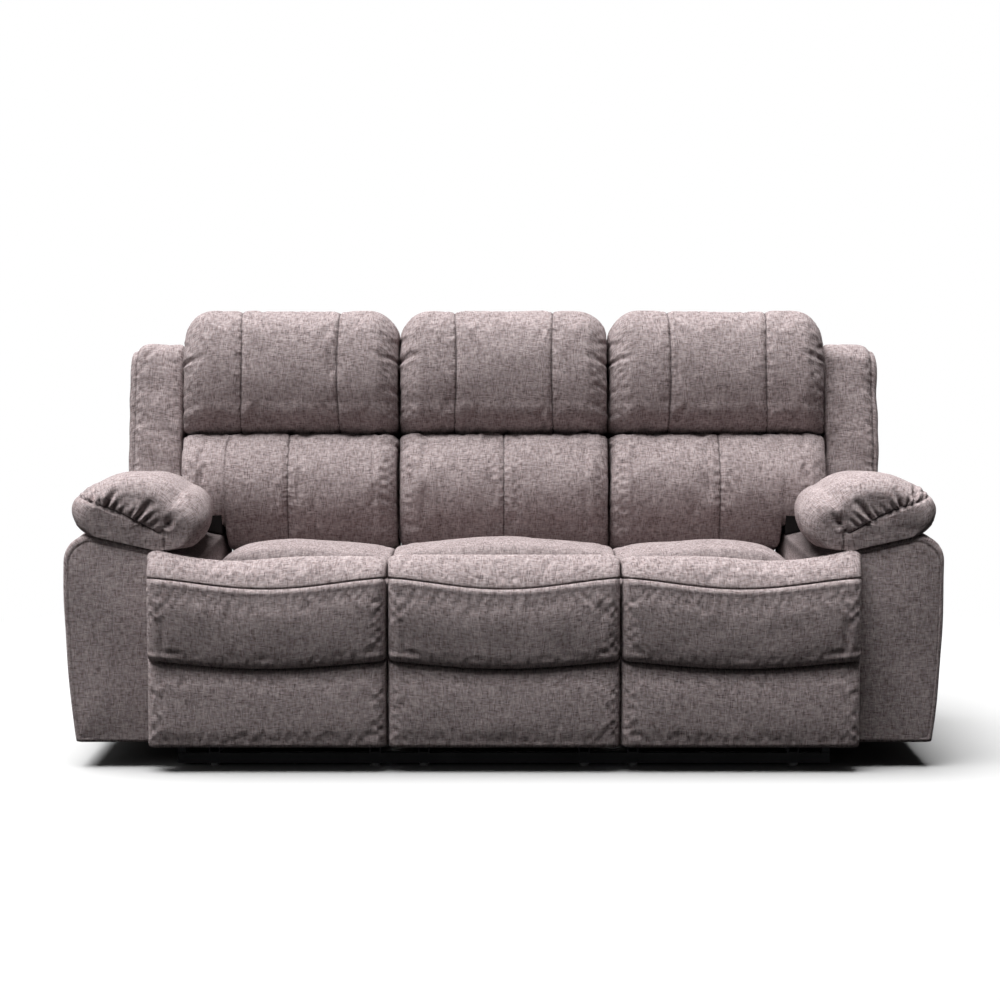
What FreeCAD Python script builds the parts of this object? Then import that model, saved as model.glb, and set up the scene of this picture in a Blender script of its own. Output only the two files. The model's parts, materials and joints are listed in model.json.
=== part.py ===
import FreeCAD, Part
import math
import os
import Sketcher
from FreeCAD import Placement, Rotation, Vector

os.makedirs("parts", exist_ok=True)
doc = FreeCAD.newDocument("RecliningSofa")

# Driving dimensions in millimetres and degrees. X runs across the sofa, the front faces -Y and
# the floor is Z = 0. Distances in front of the middle of the sofa are given as positive numbers.
SIZES = {
    "front_reach": 470, "arm_half_span": 1010, "arm_width": 305, "arm_set_back": 73, "arm_rear": 345,
    "arm_bottom": 59, "arm_top_outer": 545, "arm_top_slope": 12.6, "arm_crest_inset": 35,
    "arm_shoulder": 60, "arm_foot_draw": 22, "arm_front_draw": 12, "arm_foam": 30, "arm_board": 24,
    "arm_frame_lift": 3,
    "pad_lean_in": 27, "pad_shy": 32, "pad_height": 122, "pad_forward": 5, "pad_rear_gap": 150,
    "wing_place": 111, "wing_width": 128, "wing_front": 112, "wing_rear": 48, "wing_drop": 38,
    "wing_foot": 150, "wing_corner": 45, "wing_roll": 40, "wing_gap": 6,
    "middle_half": 263, "seat_gap": 6, "front_overlap": 110, "side_gap": 5,
    "deck_height": 392, "frame_inset": 5.5, "frame_set_back": 95, "frame_rear_gap": 34,
    "rail_width": 22, "side_rail_height": 82, "front_rail_height": 22, "front_rail_depth": 25,
    "spring_wire": 1.8, "spring_wave": 24, "spring_pitch": 80, "spring_margin": 14,
    "spring_end": 8,
    "cushion_lift": 4.5, "crown_rise": 110, "edge_rise": 92, "cushion_rear_gap": 165,
    "cushion_tail_gap": 49, "tail_height": 30, "valley_drop": 14,
    "roll_rise": 45, "roll_set_back": 6, "roll_depth": 70,
    "pivot_set_back": 130, "pivot_drop": 37, "link_ground": 47, "link_stowed": 87,
    "link_travel": 80, "link_width": 16, "plate": 4, "layer_gap": 1, "pin_radius": 4,
    "running_fit": 0.05, "open_fit": 0.2, "crank_back": 30, "crank_up": 25, "crank_lift": 2,
    "torque_tube_radius": 9,
    "plate_set_back": 110, "plate_tail": 19, "plate_low": 58, "plate_web": 30, "window_header": 73,
    "window_gap": 25, "tail_gap": 5, "hinge_web": 22,
    "shoe_set_back": 140, "shoe_rear": 140, "shoe_width": 16,
    "board_thickness": 12, "footrest_low": 59, "board_drop": 63, "board_inset": 15,
    "flange_width": 20, "flange_thickness": 3,
    "pad_split": 255, "pad_gap": 2.5, "split_droop": 18, "seam_rise": 61, "seam_droop": 25,
    "seam_clearance": 1.5, "lower_pad_set_back": 9, "soft_gap": 0.3,
    "hinge_back": 248.6, "hinge_drop": 87, "hinge_pin": 6, "hinge_eye": 8, "back_lean": 14,
    "back_stile": 29, "back_timber": 32, "back_face": 5, "back_rail": 40, "back_top": 690,
    "back_foot": 20, "back_panel_thickness": 15, "panel_foot": -60, "ear_height": 268,
    "lumbar_low": 120, "lumbar_high": 408, "lumbar_front": 193, "pillow_gap": 5,
    "head_front": 197, "head_rise": 37, "head_corner": 75, "head_seam": 124, "channel_depth": 7,
    "rail_low": 7, "rail_high": 30, "rail_depth": 25, "rail_under_arm": 50, "rail_set_back": 98,
    "rear_rail_place": 275, "track_high": 60, "track_width": 26, "track_wall": 3,
    "foot_radius": 12, "bracket_width": 18, "rear_panel_thickness": 12, "rear_panel_top": 255,
    "handle_set_back": 107, "handle_height": 360, "cup_length": 110, "cup_height": 60,
    "cup_depth": 34, "cup_sink": 2, "cup_wall": 3, "cup_rim": 8, "paddle_length": 62,
    "paddle_thickness": 5, "paddle_pin": 2,
    "tab_width": 30, "tab_thickness": 2, "tab_drop": 8, "tab_length": 160, "tab_set_back": 60,
    "tab_guide_height": 20, "tab_clearance": 2, "cut_margin": 10,
}
sheet = doc.addObject("Spreadsheet::Sheet", "Sheet")
for row, (alias, number) in enumerate(SIZES.items(), start=1):
    sheet.set(f"A{row}", alias)
    sheet.set(f"B{row}", str(number))
    sheet.setAlias(f"B{row}", alias)
doc.recompute()


class Size(float):
    """A number that remembers the sheet expression it comes from."""

    def __new__(cls, value, text):
        size = float.__new__(cls, value)
        size.text = text
        return size

    def __add__(self, other):
        other = as_size(other)
        return Size(float(self) + float(other), f"({self.text} + {other.text})")

    def __sub__(self, other):
        other = as_size(other)
        return Size(float(self) - float(other), f"({self.text} - {other.text})")

    def __mul__(self, other):
        other = as_size(other)
        return Size(float(self) * float(other), f"({self.text} * {other.text})")

    def __truediv__(self, other):
        other = as_size(other)
        return Size(float(self) / float(other), f"({self.text} / {other.text})")

    def __radd__(self, other):
        return as_size(other) + self

    def __rsub__(self, other):
        return as_size(other) - self

    def __rmul__(self, other):
        return as_size(other) * self

    def __neg__(self):
        return as_size(0) - self


def as_size(number):
    return number if isinstance(number, Size) else Size(float(number), f"({float(number)})")


def size(alias):
    return Size(float(sheet.get(alias)), f"Sheet.{alias}")


def sine(angle):
    return Size(math.sin(math.radians(angle)), f"sin({angle.text})")


def cosine(angle):
    return Size(math.cos(math.radians(angle)), f"cos({angle.text})")


def tangent(angle):
    return Size(math.tan(math.radians(angle)), f"tan({angle.text})")


# Basic solids, each bound to the sheet

def bind(thing, **places):
    for name, value in places.items():
        thing.setExpression(name.replace("_", "."), as_size(value).text)


def put(thing, x, y, z):
    bind(thing, Placement_Base_x=x, Placement_Base_y=y, Placement_Base_z=z)
    return thing


def box(name, across, along, up):
    """A block between two values on each axis."""
    block = doc.addObject("Part::Box", name)
    bind(block, Length=as_size(across[1]) - across[0], Width=as_size(along[1]) - along[0],
         Height=as_size(up[1]) - up[0])
    return put(block, across[0], along[0], up[0])


def rod(name, across, y, z, radius):
    """A round bar along X between two values."""
    bar = doc.addObject("Part::Cylinder", name)
    bar.Placement = Placement(Vector(), Rotation(Vector(0, 1, 0), 90))
    bind(bar, Radius=radius, Height=as_size(across[1]) - across[0])
    return put(bar, across[0], y, z)


def upright(name, x, y, up, radius):
    """A round bar along Z between two values."""
    bar = doc.addObject("Part::Cylinder", name)
    bind(bar, Radius=radius, Height=as_size(up[1]) - up[0])
    return put(bar, x, y, up[0])


def group(name, members):
    whole = doc.addObject("Part::Compound", name)
    whole.Links = members
    return whole


def fuse(name, members):
    whole = doc.addObject("Part::MultiFuse", name)
    whole.Shapes = members
    return whole


def cut(name, base, tools):
    tool = tools[0] if len(tools) == 1 else fuse(name + "_tools", tools)
    whole = doc.addObject("Part::Cut", name)
    whole.Base = base
    whole.Tool = tool
    return whole


def mirrored(name, source):
    other = doc.addObject("Part::Mirroring", name)
    other.Source = source
    other.Normal = Vector(1, 0, 0)
    return other


def soft(name, shape):
    """A padded form, whose shape is a loft."""
    form = doc.addObject("Part::Feature", name)
    form.Shape = shape
    return form


def pair_span(middle, side, near, far):
    """The span from near to far on one side of a middle line."""
    if side > 0:
        return middle + near, middle + far
    return middle - far, middle - near


nodes = {}


def keep(label, thing):
    thing.Label = label
    nodes[label] = thing
    return thing


# Sections of soft forms: a start point, then lines to a point or arcs through one point to another

def section(place, start, runs):
    """A closed wire; place turns a flat pair of numbers into a point of the section's plane."""
    edges = []
    here = start
    for run in list(runs) + [start]:
        if isinstance(run[0], tuple):
            edges.append(Part.Arc(place(*here), place(*run[0]), place(*run[1])).toShape())
            here = run[1]
        else:
            edges.append(Part.makeLine(place(*here), place(*run)))
            here = run
    return Part.Wire(edges)


def loft(wires, ruled=False):
    return Part.makeLoft(wires, True, ruled)


def joined(shapes):
    whole = shapes[0]
    for shape in shapes[1:]:
        whole = whole.fuse(shape)
    return whole


def end_draw(distance, reach, amount):
    """How far a padded face is drawn in near its end: a quarter ellipse over the reach."""
    if distance >= reach:
        return 0.0
    share = 1.0 - distance / reach
    return amount * (1.0 - math.sqrt(max(0.0, 1.0 - share * share)))


def stations(low, high, low_reach, high_reach=None):
    """Places of the sections across one panel, closer together at its two ends."""
    high_reach = low_reach if high_reach is None else high_reach
    steps = (0.0, 0.06, 0.3, 1.0, 1.9, 3.4)
    middle = 0.5 * (low + high)
    room = 0.84 * (middle - low)
    near = [low + step * low_reach for step in steps if step * low_reach < room]
    far = [high - step * high_reach for step in reversed(steps) if step * high_reach < room]
    return near + [middle] + far


# Derived places

arm_outer = size("arm_half_span")
arm_inner = arm_outer - size("arm_width")
arm_front = size("front_reach") - size("arm_set_back")
middle_edge = size("middle_half")
outer_inner_edge = middle_edge + size("seat_gap")
seat_outer_edge = arm_inner - size("side_gap")
outer_middle = (seat_outer_edge + outer_inner_edge) / 2
front = -size("front_reach")
gap = size("soft_gap")
margin = size("cut_margin")
deck = size("deck_height")
frame_half = (seat_outer_edge - outer_inner_edge) / 2 - size("frame_inset")
frame_front = size("front_reach") - size("frame_set_back")
frame_rear = size("hinge_back") - size("frame_rear_gap")
hinge = (size("hinge_back"), deck - size("hinge_drop"))
lean = size("back_lean")
pivot_y = front + size("pivot_set_back")
pivot_z = deck - size("pivot_drop")
half_link = (pivot_z - size("plate_low") - size("link_ground")) / 2
stowed = size("link_stowed")
deployed = size("link_stowed") - size("link_travel")
reach_y = half_link * cosine(stowed)
reach_z = half_link * sine(stowed)
pin = size("pin_radius")
plate = size("plate")
step = plate + size("layer_gap")
rail_inner = frame_half - size("rail_width")
layer = [rail_inner - plate - step * count for count in range(5)]
board_back = front + size("roll_depth")
board_front = board_back - size("board_thickness")
seam_height = deck + size("seam_rise")
board_top = seam_height - size("board_drop")
arm_frame_x = (arm_inner + size("arm_foam"), arm_outer - size("arm_foam"))
arm_frame_y = (-arm_front + size("arm_foam"), size("arm_rear") - size("arm_foam"))


def arm_top(x):
    """Height of the sloping top of the arm, which falls towards the seat."""
    fall = (arm_outer - size("arm_crest_inset") - x) * tangent(size("arm_top_slope"))
    return size("arm_top_outer") - fall


arm_frame_z = (size("arm_bottom") + size("arm_frame_lift"), arm_top(arm_inner) - size("arm_foam"))


# Base: two cross rails on round feet, side tracks for the seats and brackets to the arms

rail_half = arm_inner + size("rail_under_arm")
rail_y = (front + size("rail_set_back"), size("rear_rail_place") - size("rail_depth"))
cross_rails = []
for place, rail_front, bracket_front in zip(("front", "rear"), rail_y, (arm_frame_y[0], rail_y[1])):
    along = (rail_front, rail_front + size("rail_depth"))
    cross_rails.append(box(f"{place}_cross_rail", (-rail_half, rail_half), along,
                           (size("rail_low"), size("rail_high"))))
    for side in (-1, 1):
        across = pair_span(as_size(0), side, rail_half - size("bracket_width"), rail_half)
        cross_rails.append(box(f"{place}_arm_bracket", across, (bracket_front, along[1]),
                               (size("rail_high"), arm_frame_z[0])))
keep("base_frame", group("BaseFrame", cross_rails))

track_middle = layer[0] + plate / 2
tracks = []
feet = []
for middle in (-outer_middle, as_size(0), outer_middle):
    for side in (-1, 1):
        half = size("track_width") / 2
        wall = size("track_wall")
        across = pair_span(middle, side, track_middle - half, track_middle + half)
        hollow = pair_span(middle, side, track_middle - half + wall, track_middle + half - wall)
        along = (rail_y[0], rail_y[1] + size("rail_depth"))
        bar = box("track_bar", across, along, (size("rail_high"), size("track_high")))
        groove = box("track_groove", hollow, along,
                     (size("rail_high") + wall, size("track_high")))
        tracks.append(cut("track", bar, [groove]))
        for rail_front in rail_y:
            feet.append(upright("foot", middle + side * track_middle,
                                rail_front + size("rail_depth") / 2,
                                (0, size("rail_low")), size("foot_radius")))
keep("base_side_rails", group("BaseSideRails", tracks))
keep("glide_feet", group("GlideFeet", feet))

panel_rear = size("arm_rear")
keep("rear_panel", box("RearPanel", (-arm_inner + size("soft_gap"), arm_inner - size("soft_gap")),
                       (panel_rear - size("rear_panel_thickness"), panel_rear),
                       (size("arm_bottom"), size("rear_panel_top"))))


# Arms: a boarded box frame inside a padded cover, a pillow on top and a wing behind

board = size("arm_board")


def inset(span, amount):
    return span[0] + amount, span[1] - amount


cup_middle_y = -arm_front + size("handle_set_back")
cup_y = (cup_middle_y - size("cup_length") / 2, cup_middle_y + size("cup_length") / 2)
cup_z = (size("handle_height") - size("cup_height") / 2, size("handle_height") + size("cup_height") / 2)
cup_face = arm_outer - size("cup_sink")
cup_x = (cup_face - size("cup_depth"), cup_face)
wall = size("cup_wall")
rim = size("cup_rim")
cup_outer = ((cup_x[0] - wall, cup_face), inset(cup_y, -wall), inset(cup_z, -wall))
recess = [inset(span, -gap) for span in cup_outer]
frame_box = box("arm_frame_block", arm_frame_x, arm_frame_y, arm_frame_z)
frame_hollow = box("arm_frame_hollow", inset(arm_frame_x, board), inset(arm_frame_y, board),
                   inset(arm_frame_z, board))
right_frame = cut("arm_frame", frame_box, [frame_hollow, box("frame_recess", *recess)])
keep("arm_frames", group("ArmFrames", [right_frame, mirrored("arm_frame_left", right_frame)]))


def arm_section(y, draw):
    """Cross section of the arm cover, drawn in all round by the given amount."""
    low = size("arm_bottom")
    foot = arm_outer - size("arm_foot_draw") - draw
    side = arm_outer - draw
    shoulder = size("arm_shoulder")
    top = arm_top(side - shoulder) - draw
    belly = arm_top(side) - 2 * shoulder
    inner = arm_inner + draw
    corner = math.sqrt(0.5) * shoulder

    def place(x, z):
        return Vector(x, y, z)

    start = (inner, low)
    runs = [(foot, low),
            ((side - 0.25 * size("arm_foot_draw"), 0.5 * (low + belly)), (side, belly)),
            (side, top - shoulder),
            ((side - shoulder + corner, top - shoulder + corner), (side - shoulder, top)),
            (inner, arm_top(inner) - draw)]
    return section(place, start, runs)


draw = size("arm_front_draw")
arm_stations = [(-arm_front, draw), (-arm_front + 0.25 * draw, 0.45 * draw),
                (-arm_front + draw, 0.0), (size("arm_rear") - draw, 0.0),
                (size("arm_rear") - 0.25 * draw, 0.45 * draw), (size("arm_rear"), draw)]
cover = soft("arm_cover_form", loft([arm_section(y, d) for y, d in arm_stations], ruled=True))
cavity_z = (size("arm_bottom") - margin, arm_frame_z[1] + gap)
cavity = box("arm_cavity", inset(arm_frame_x, -gap), inset(arm_frame_y, -gap), cavity_z)
rim_seat = box("rim_seat", (cup_face - wall - gap, cup_face + margin), inset(cup_y, -rim - gap),
               inset(cup_z, -rim - gap))
right_cover = cut("RightArmCover", cover, [cavity, box("cover_recess", *recess), rim_seat])
keep("right_arm_cover", right_cover)
keep("left_arm_cover", mirrored("LeftArmCover", right_cover))


def pillow_section(y, draw):
    """Cross section of the arm pillow: a flat sloping bottom and four round sides."""
    inner = arm_inner - size("pad_lean_in") + draw
    outer = arm_outer - size("pad_shy") - draw
    top = size("arm_top_outer") + size("pad_height") - draw
    width = outer - inner
    seat = size("soft_gap")

    def rest(x):
        return arm_top(x) + seat

    def place(x, z):
        return Vector(x, y, z)

    low_inner = inner + 0.3 * width
    low_outer = outer - 0.06 * width
    start = (low_inner, rest(low_inner))
    height = top - rest(low_outer)
    runs = [(low_outer, rest(low_outer)),
            ((outer, rest(low_outer) + 0.45 * height), (outer - 0.14 * width, top - 0.22 * height)),
            ((outer - 0.42 * width, top), (inner + 0.16 * width, top - 0.36 * height)),
            ((inner, top - 0.85 * height), (inner + 0.09 * width, top - 1.2 * height))]
    return section(place, start, runs)


pad_span = (-arm_front - size("pad_forward"), size("hinge_back") - size("pad_rear_gap"))
pad_length = pad_span[1] - pad_span[0]
pad_steps = [(0.0, 46), (0.02, 22), (0.07, 7), (0.18, 0), (0.5, 3), (0.84, 2), (0.94, 12), (1.0, 38)]
pad_wires = [pillow_section(pad_span[0] + share * pad_length, drawn) for share, drawn in pad_steps]
right_pad = soft("RightArmPad", loft(pad_wires))
keep("right_arm_pad", right_pad)
keep("left_arm_pad", mirrored("LeftArmPad", right_pad))

def lean_back(thing):
    """Stands a piece made upright on the back hinge and leans it to the rear."""
    thing.Placement = Placement(Vector(), Rotation(Vector(-1, 0, 0), float(lean)))
    put(thing, 0, hinge[0], hinge[1])
    thing.setExpression("Placement.Rotation.Angle", lean.text)
    return thing


def wing_section(x, draw, drop):
    """Side view of the wing at one place across it, upright; it leans back afterwards."""
    front_edge = -size("wing_front") + draw
    rear_edge = size("wing_rear") - draw
    top = size("back_top") - size("wing_drop") - draw - drop
    foot = size("wing_foot")
    corner = size("wing_corner")
    bend = corner * (1 - math.sqrt(0.5))

    def place(y, z):
        return Vector(x, y, z)

    start = (rear_edge, foot)
    runs = [(rear_edge, top), (front_edge + corner, top),
            ((front_edge + bend, top - bend), (front_edge, top - corner)),
            (front_edge, foot)]
    return section(place, start, runs)


wing_inner = arm_inner + size("wing_place")
wing_x = (wing_inner, wing_inner + size("wing_width"))
wing_roll = size("wing_roll")
wing_stations = [(wing_x[0], 8), (wing_x[0] + 3, 3), (wing_x[0] + 12, 0)]
wing_wires = [wing_section(x, drawn, 0) for x, drawn in wing_stations]
for distance in (wing_roll, 0.55 * wing_roll, 0.2 * wing_roll, 0):
    wing_wires.append(wing_section(wing_x[1] - distance, end_draw(distance, wing_roll, 0.4 * wing_roll),
                                   end_draw(distance, size("wing_corner"), 26)))
wing_form = lean_back(soft("wing_form", loft(wing_wires, ruled=True)))
block_x = (arm_inner, arm_outer + margin)
slope_face = Part.Face(section(
    lambda x, z: Vector(x, -size("arm_rear"), z), (block_x[0], 0),
    [(block_x[1], 0), (block_x[1], arm_top(block_x[1]) + gap), (block_x[0], arm_top(block_x[0]) + gap)]))
slope_block = soft("arm_top_block", slope_face.extrude(Vector(0, 2 * size("arm_rear"), 0)))
right_wing = cut("RightWing", wing_form, [slope_block])
keep("right_wing", right_wing)
keep("left_wing", mirrored("LeftWing", right_wing))


# Release handles: a recessed cup in each arm with a sprung paddle

cup_block = box("cup_block", *cup_outer)
cup_flange = box("cup_flange", (cup_face - wall, cup_face), inset(cup_y, -rim), inset(cup_z, -rim))
cup_hollow = box("cup_hollow", (cup_x[0], cup_face + margin), cup_y, cup_z)
paddle_face = cup_face - size("cup_sink")
paddle_x = (paddle_face - size("paddle_thickness"), paddle_face)
paddle_middle = (paddle_x[0] + paddle_x[1]) / 2
paddle_axis_y = cup_y[1] - size("paddle_thickness")
fit = size("running_fit")
pin_holes = upright("paddle_pin_holes", paddle_middle, paddle_axis_y,
                    (cup_z[0] - wall, cup_z[1] + wall), size("paddle_pin") + fit)
right_cup = cut("cup", fuse("cup_shell", [cup_block, cup_flange]), [cup_hollow, pin_holes])
keep("handle_cups", group("HandleCups", [right_cup, mirrored("cup_left", right_cup)]))
play = size("layer_gap")
leaf_y = (paddle_axis_y - size("paddle_length"), paddle_axis_y)
leaf = box("paddle_leaf", paddle_x, leaf_y, inset(cup_z, play))
barrel = upright("paddle_barrel", paddle_middle, paddle_axis_y, inset(cup_z, play),
                 size("paddle_thickness") / 2)
grip = box("paddle_grip", (paddle_x[0] - size("paddle_thickness"), paddle_x[0]),
           (leaf_y[0], leaf_y[0] + size("paddle_thickness")), inset(cup_z, play))
paddle_pins = upright("paddle_pins", paddle_middle, paddle_axis_y,
                      (cup_z[0] - wall, cup_z[1] + wall), size("paddle_pin"))
right_handle = fuse("RightHandle", [leaf, barrel, grip, paddle_pins])
keep("right_release_handle", right_handle)
keep("left_release_handle", mirrored("LeftHandle", right_handle))


# Seat frame, springs and cushion

def seat_frame(seat, middle, tab_guide):
    frame_y = (-frame_front, frame_rear)
    rail_z = (deck - size("side_rail_height"), deck)
    rails = []
    for side in (-1, 1):
        rails.append(box("side_rail", pair_span(middle, side, rail_inner, frame_half),
                         frame_y, rail_z))
    across = (middle - layer[0] + gap, middle + layer[0] - gap)
    rails.append(box("front_rail", across, (frame_y[0], frame_y[0] + size("front_rail_depth")),
                     (deck - size("front_rail_height"), deck)))
    rails.append(box("rear_rail", across, (frame_y[1] - size("front_rail_depth"), frame_y[1]),
                     (deck - 2 * size("front_rail_height"), deck)))
    if tab_guide:
        guide_low = deck - size("side_rail_height") + size("tab_guide_height")
        rails.append(box("tab_guide", (tab_x[1] + gap, -frame_half), tab_y,
                         (guide_low, guide_low + size("tab_guide_height"))))
    keep(f"{seat}_seat_frame", group(f"{seat}_frame", rails))


def sinuous_wire():
    """One spring: a flat wave of round wire from the front rail to the rear rail."""
    wave = size("spring_wave")
    low = -frame_front + size("spring_end")
    high = frame_rear - size("spring_end")
    waves = int((high - low) // size("spring_pitch"))
    pitch = (high - low) / waves
    turn = pitch / 4
    bend = turn * math.sqrt(0.5)
    edges = []
    for count in range(2 * waves):
        side = 1 if count % 2 == 0 else -1
        start_y = low + count * pitch / 2
        mid_y = start_y + turn
        flat = side * (wave - turn)
        tip = side * wave
        corner = side * (wave - turn + bend)
        edges.append(Part.makeLine(Vector(0, start_y, 0), Vector(flat, start_y, 0)))
        edges.append(Part.Arc(Vector(flat, start_y, 0), Vector(corner, mid_y - bend, 0),
                              Vector(tip, mid_y, 0)).toShape())
        edges.append(Part.Arc(Vector(tip, mid_y, 0), Vector(corner, mid_y + bend, 0),
                              Vector(flat, mid_y + turn, 0)).toShape())
        edges.append(Part.makeLine(Vector(flat, mid_y + turn, 0), Vector(0, mid_y + turn, 0)))
    ring = Part.Wire(Part.makeCircle(size("spring_wire"), Vector(0, low, 0), Vector(1, 0, 0)))
    return Part.Wire(edges).makePipeShell([ring], True, False)


spring_shape = sinuous_wire()


def seat_springs(seat, middle):
    height = deck + size("spring_wire") + gap
    spread = (rail_inner - size("spring_wave") - size("spring_margin")) / 2
    coils = []
    for place in range(-2, 3):
        coil = spring_shape.copy()
        coil.translate(Vector(middle + place * spread, 0, height))
        coils.append(coil)
    keep(f"{seat}_seat_springs", soft(f"{seat}_springs", Part.makeCompound(coils)))


def seam_radius(x, low, high):
    """Radius of the curved parting under the front roll; it droops in the middle of the seat."""
    share = (x - low) / (high - low)
    height = seam_height - size("seam_droop") * math.sin(math.pi * share) ** 1.5
    rise = pivot_z + 2 * reach_z - height
    run = front - (pivot_y - 2 * reach_y)
    return math.hypot(rise, run)


def parting_point(y, radius):
    """A point of the parting curve, which is round the point that the footrest first turns about."""
    turn_y = pivot_y - 2 * reach_y
    turn_z = pivot_z + 2 * reach_z
    return y, turn_z - math.sqrt(radius ** 2 - (y - turn_y) ** 2)


def roll_section(x, low, high):
    """Side view of the padded front roll of the seat."""
    draw = end_draw(min(x - low, high - x), 22, 16)
    radius = seam_radius(x, low, high) - size("seam_clearance")
    back = board_back
    face = front + size("roll_set_back") + draw
    crest = seam_height + size("roll_rise") - 0.7 * draw
    start = parting_point(back, radius)
    tip = parting_point(face, radius)
    middle = parting_point((back + face) / 2, radius)
    shoulder_z = tip[1] + 0.45 * (crest - tip[1])
    crest_y = back - 12
    bend = (face + 6, tip[1] + 0.5 * (shoulder_z - tip[1]))

    def place(y, z):
        return Vector(x, y, z)

    runs = [(middle, tip),
            ((face - 3, bend[1]), (face + 3, shoulder_z)),
            ((face + 18, crest - 9), (crest_y, crest)),
            (back, crest - 2)]
    return section(place, start, runs)


def deck_section(x, low, high):
    """Side view of the crowned seat cushion behind the roll; its tail runs in under the back."""
    draw = end_draw(min(x - low, high - x), 60, 1.0)
    rear = hinge[0] - size("cushion_rear_gap")
    tail = hinge[0] - size("cushion_tail_gap")
    fore = board_back
    crown = deck + size("crown_rise") - draw * (size("crown_rise") - size("edge_rise"))
    bottom = deck + size("cushion_lift")
    tail_top = bottom + size("tail_height")
    valley = crown - size("valley_drop")

    def place(y, z):
        return Vector(x, y, z)

    start = (tail, bottom)
    runs = [(tail, tail_top - 4), (rear + 16, tail_top + 8),
            ((rear, crown - 40), (rear - 34, crown - 16)),
            ((-150, crown), (fore + 26, valley)),
            (fore, valley + 2), (fore, bottom)]
    return section(place, start, runs)


def seat_cushion(seat, roll, cushion):
    roll_wires = [roll_section(x, *roll) for x in stations(*roll, 24)]
    deck_wires = [deck_section(x, *cushion) for x in stations(*cushion, 60)]
    keep(f"{seat}_seat_cushion", soft(f"{seat}_cushion", joined([loft(deck_wires),
                                                                 loft(roll_wires)])))


# Footrest mechanism: side plates and scissor links in flat layers, one set on each side

def mechanism_plates(seat, middle):
    pieces = []
    slot_z = (pivot_z - 2 * reach_z, pivot_z - 2 * half_link * sine(deployed))
    plate_z = (size("plate_low"), pivot_z + size("link_width"))
    web = size("plate_web")
    window_z = (plate_z[0] + web, plate_z[1] - size("window_header"))
    first = pivot_y + size("window_gap")
    reach = (size("shoe_rear") - first - 2 * web) / 2
    slot_half = pin + size("open_fit")
    for side in (-1, 1):
        across = pair_span(middle, side, layer[0], layer[0] + plate)
        tail = hinge[0] + size("plate_tail")
        whole = box("side_plate", across, (front + size("plate_set_back"), tail), plate_z)
        windows = []
        for start in (first, first + reach + web):
            windows.append(box("window", across, (start, start + reach), window_z))
        tail_z = (plate_z[0], hinge[1] - size("hinge_web"))
        windows.append(box("tail_cut", across, (size("shoe_rear") + size("tail_gap"), tail), tail_z))
        windows.append(box("slot", across, (pivot_y - slot_half, pivot_y + slot_half), slot_z))
        for end in slot_z:
            windows.append(rod("slot_end", across, pivot_y, end, slot_half))
        bare = cut("bare_plate", whole, windows)
        pin_span = pair_span(middle, side, layer[1], layer[0] + plate)
        pivot = rod("footrest_pivot", pin_span, pivot_y, pivot_z, pin)
        back_pivot = rod("back_pivot", pin_span, hinge[0], hinge[1], size("hinge_pin"))
        half = size("shoe_width") / 2
        shoe = box("carriage_shoe",
                   pair_span(middle, side, track_middle - half, track_middle + half),
                   (front + size("shoe_set_back"), size("shoe_rear")),
                   (size("rail_high") + size("track_wall") + gap, plate_z[0]))
        pieces.append(fuse("plate", [bare, pivot, back_pivot, shoe]))
    keep(f"{seat}_mechanism_plates", group(f"{seat}_plates", pieces))


def turned(thing, angle, y, z):
    """Turns a link about X at its pivot and sets the pivot in place."""
    thing.Placement = Placement(Vector(), Rotation(Vector(1, 0, 0), float(angle)))
    put(thing, 0, y, z)
    thing.setExpression("Placement.Rotation.Angle", angle.text)
    return thing


def link_bar(name, across, low, high):
    """A flat link along Z with round ends at two heights."""
    half = size("link_width") / 2
    return fuse(name, [box("link_web", across, (-half, half), (low, high)),
                       rod("link_end", across, 0, low, half), rod("link_end", across, 0, high, half)])


def hole(across, z, clearance):
    return rod("link_hole", across, 0, z, pin + clearance)


tilt = 90 - stowed


def drive_links(seat, middle):
    pieces = []
    for side in (-1, 1):
        across = pair_span(middle, side, layer[1], layer[1] + plate)
        crank_y = size("crank_back") * cosine(tilt) - size("crank_up") * sine(tilt)
        crank_z = size("crank_back") * sine(tilt) + size("crank_up") * cosine(tilt)
        crank_end = rod("crank_end", across, crank_y, crank_z, size("torque_tube_radius") + 3)
        crank = box("crank", across, (-size("link_width") / 2, crank_y),
                    (size("crank_lift"), crank_z))
        bar = fuse("drive_bar", [link_bar("drive_web", across, -2 * half_link, as_size(0)),
                                 crank, crank_end])
        bored = cut("drive_bored", bar, [hole(across, 0, fit)])
        cross_pin = rod("cross_pin", pair_span(middle, side, layer[2], layer[1] + plate),
                        0, -half_link, pin)
        end_pin = rod("end_pin", pair_span(middle, side, layer[4], layer[1] + plate),
                      0, -2 * half_link, pin)
        pieces.append(turned(fuse("drive", [bored, cross_pin, end_pin]), -tilt, pivot_y, pivot_z))
    pieces.append(rod("torque_tube", (middle - layer[1], middle + layer[1]),
                      pivot_y + size("crank_back"), pivot_z + size("crank_up"),
                      size("torque_tube_radius")))
    keep(f"{seat}_drive_links", group(f"{seat}_drive", pieces))


def crossing_links(seat, middle):
    pieces = []
    for side in (-1, 1):
        across = pair_span(middle, side, layer[2], layer[2] + plate)
        bar = link_bar("crossing_web", across, as_size(0), 2 * half_link)
        bored = cut("crossing_bored", bar, [hole(across, half_link, fit)])
        slot_pin = rod("slot_pin", pair_span(middle, side, layer[2], layer[0] + plate), 0, 0, pin)
        end_pin = rod("end_pin", pair_span(middle, side, layer[3], layer[2] + plate),
                      0, 2 * half_link, pin)
        pieces.append(turned(fuse("crossing", [bored, slot_pin, end_pin]), tilt,
                             pivot_y, pivot_z - 2 * reach_z))
    keep(f"{seat}_crossing_links", group(f"{seat}_crossing", pieces))


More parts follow.
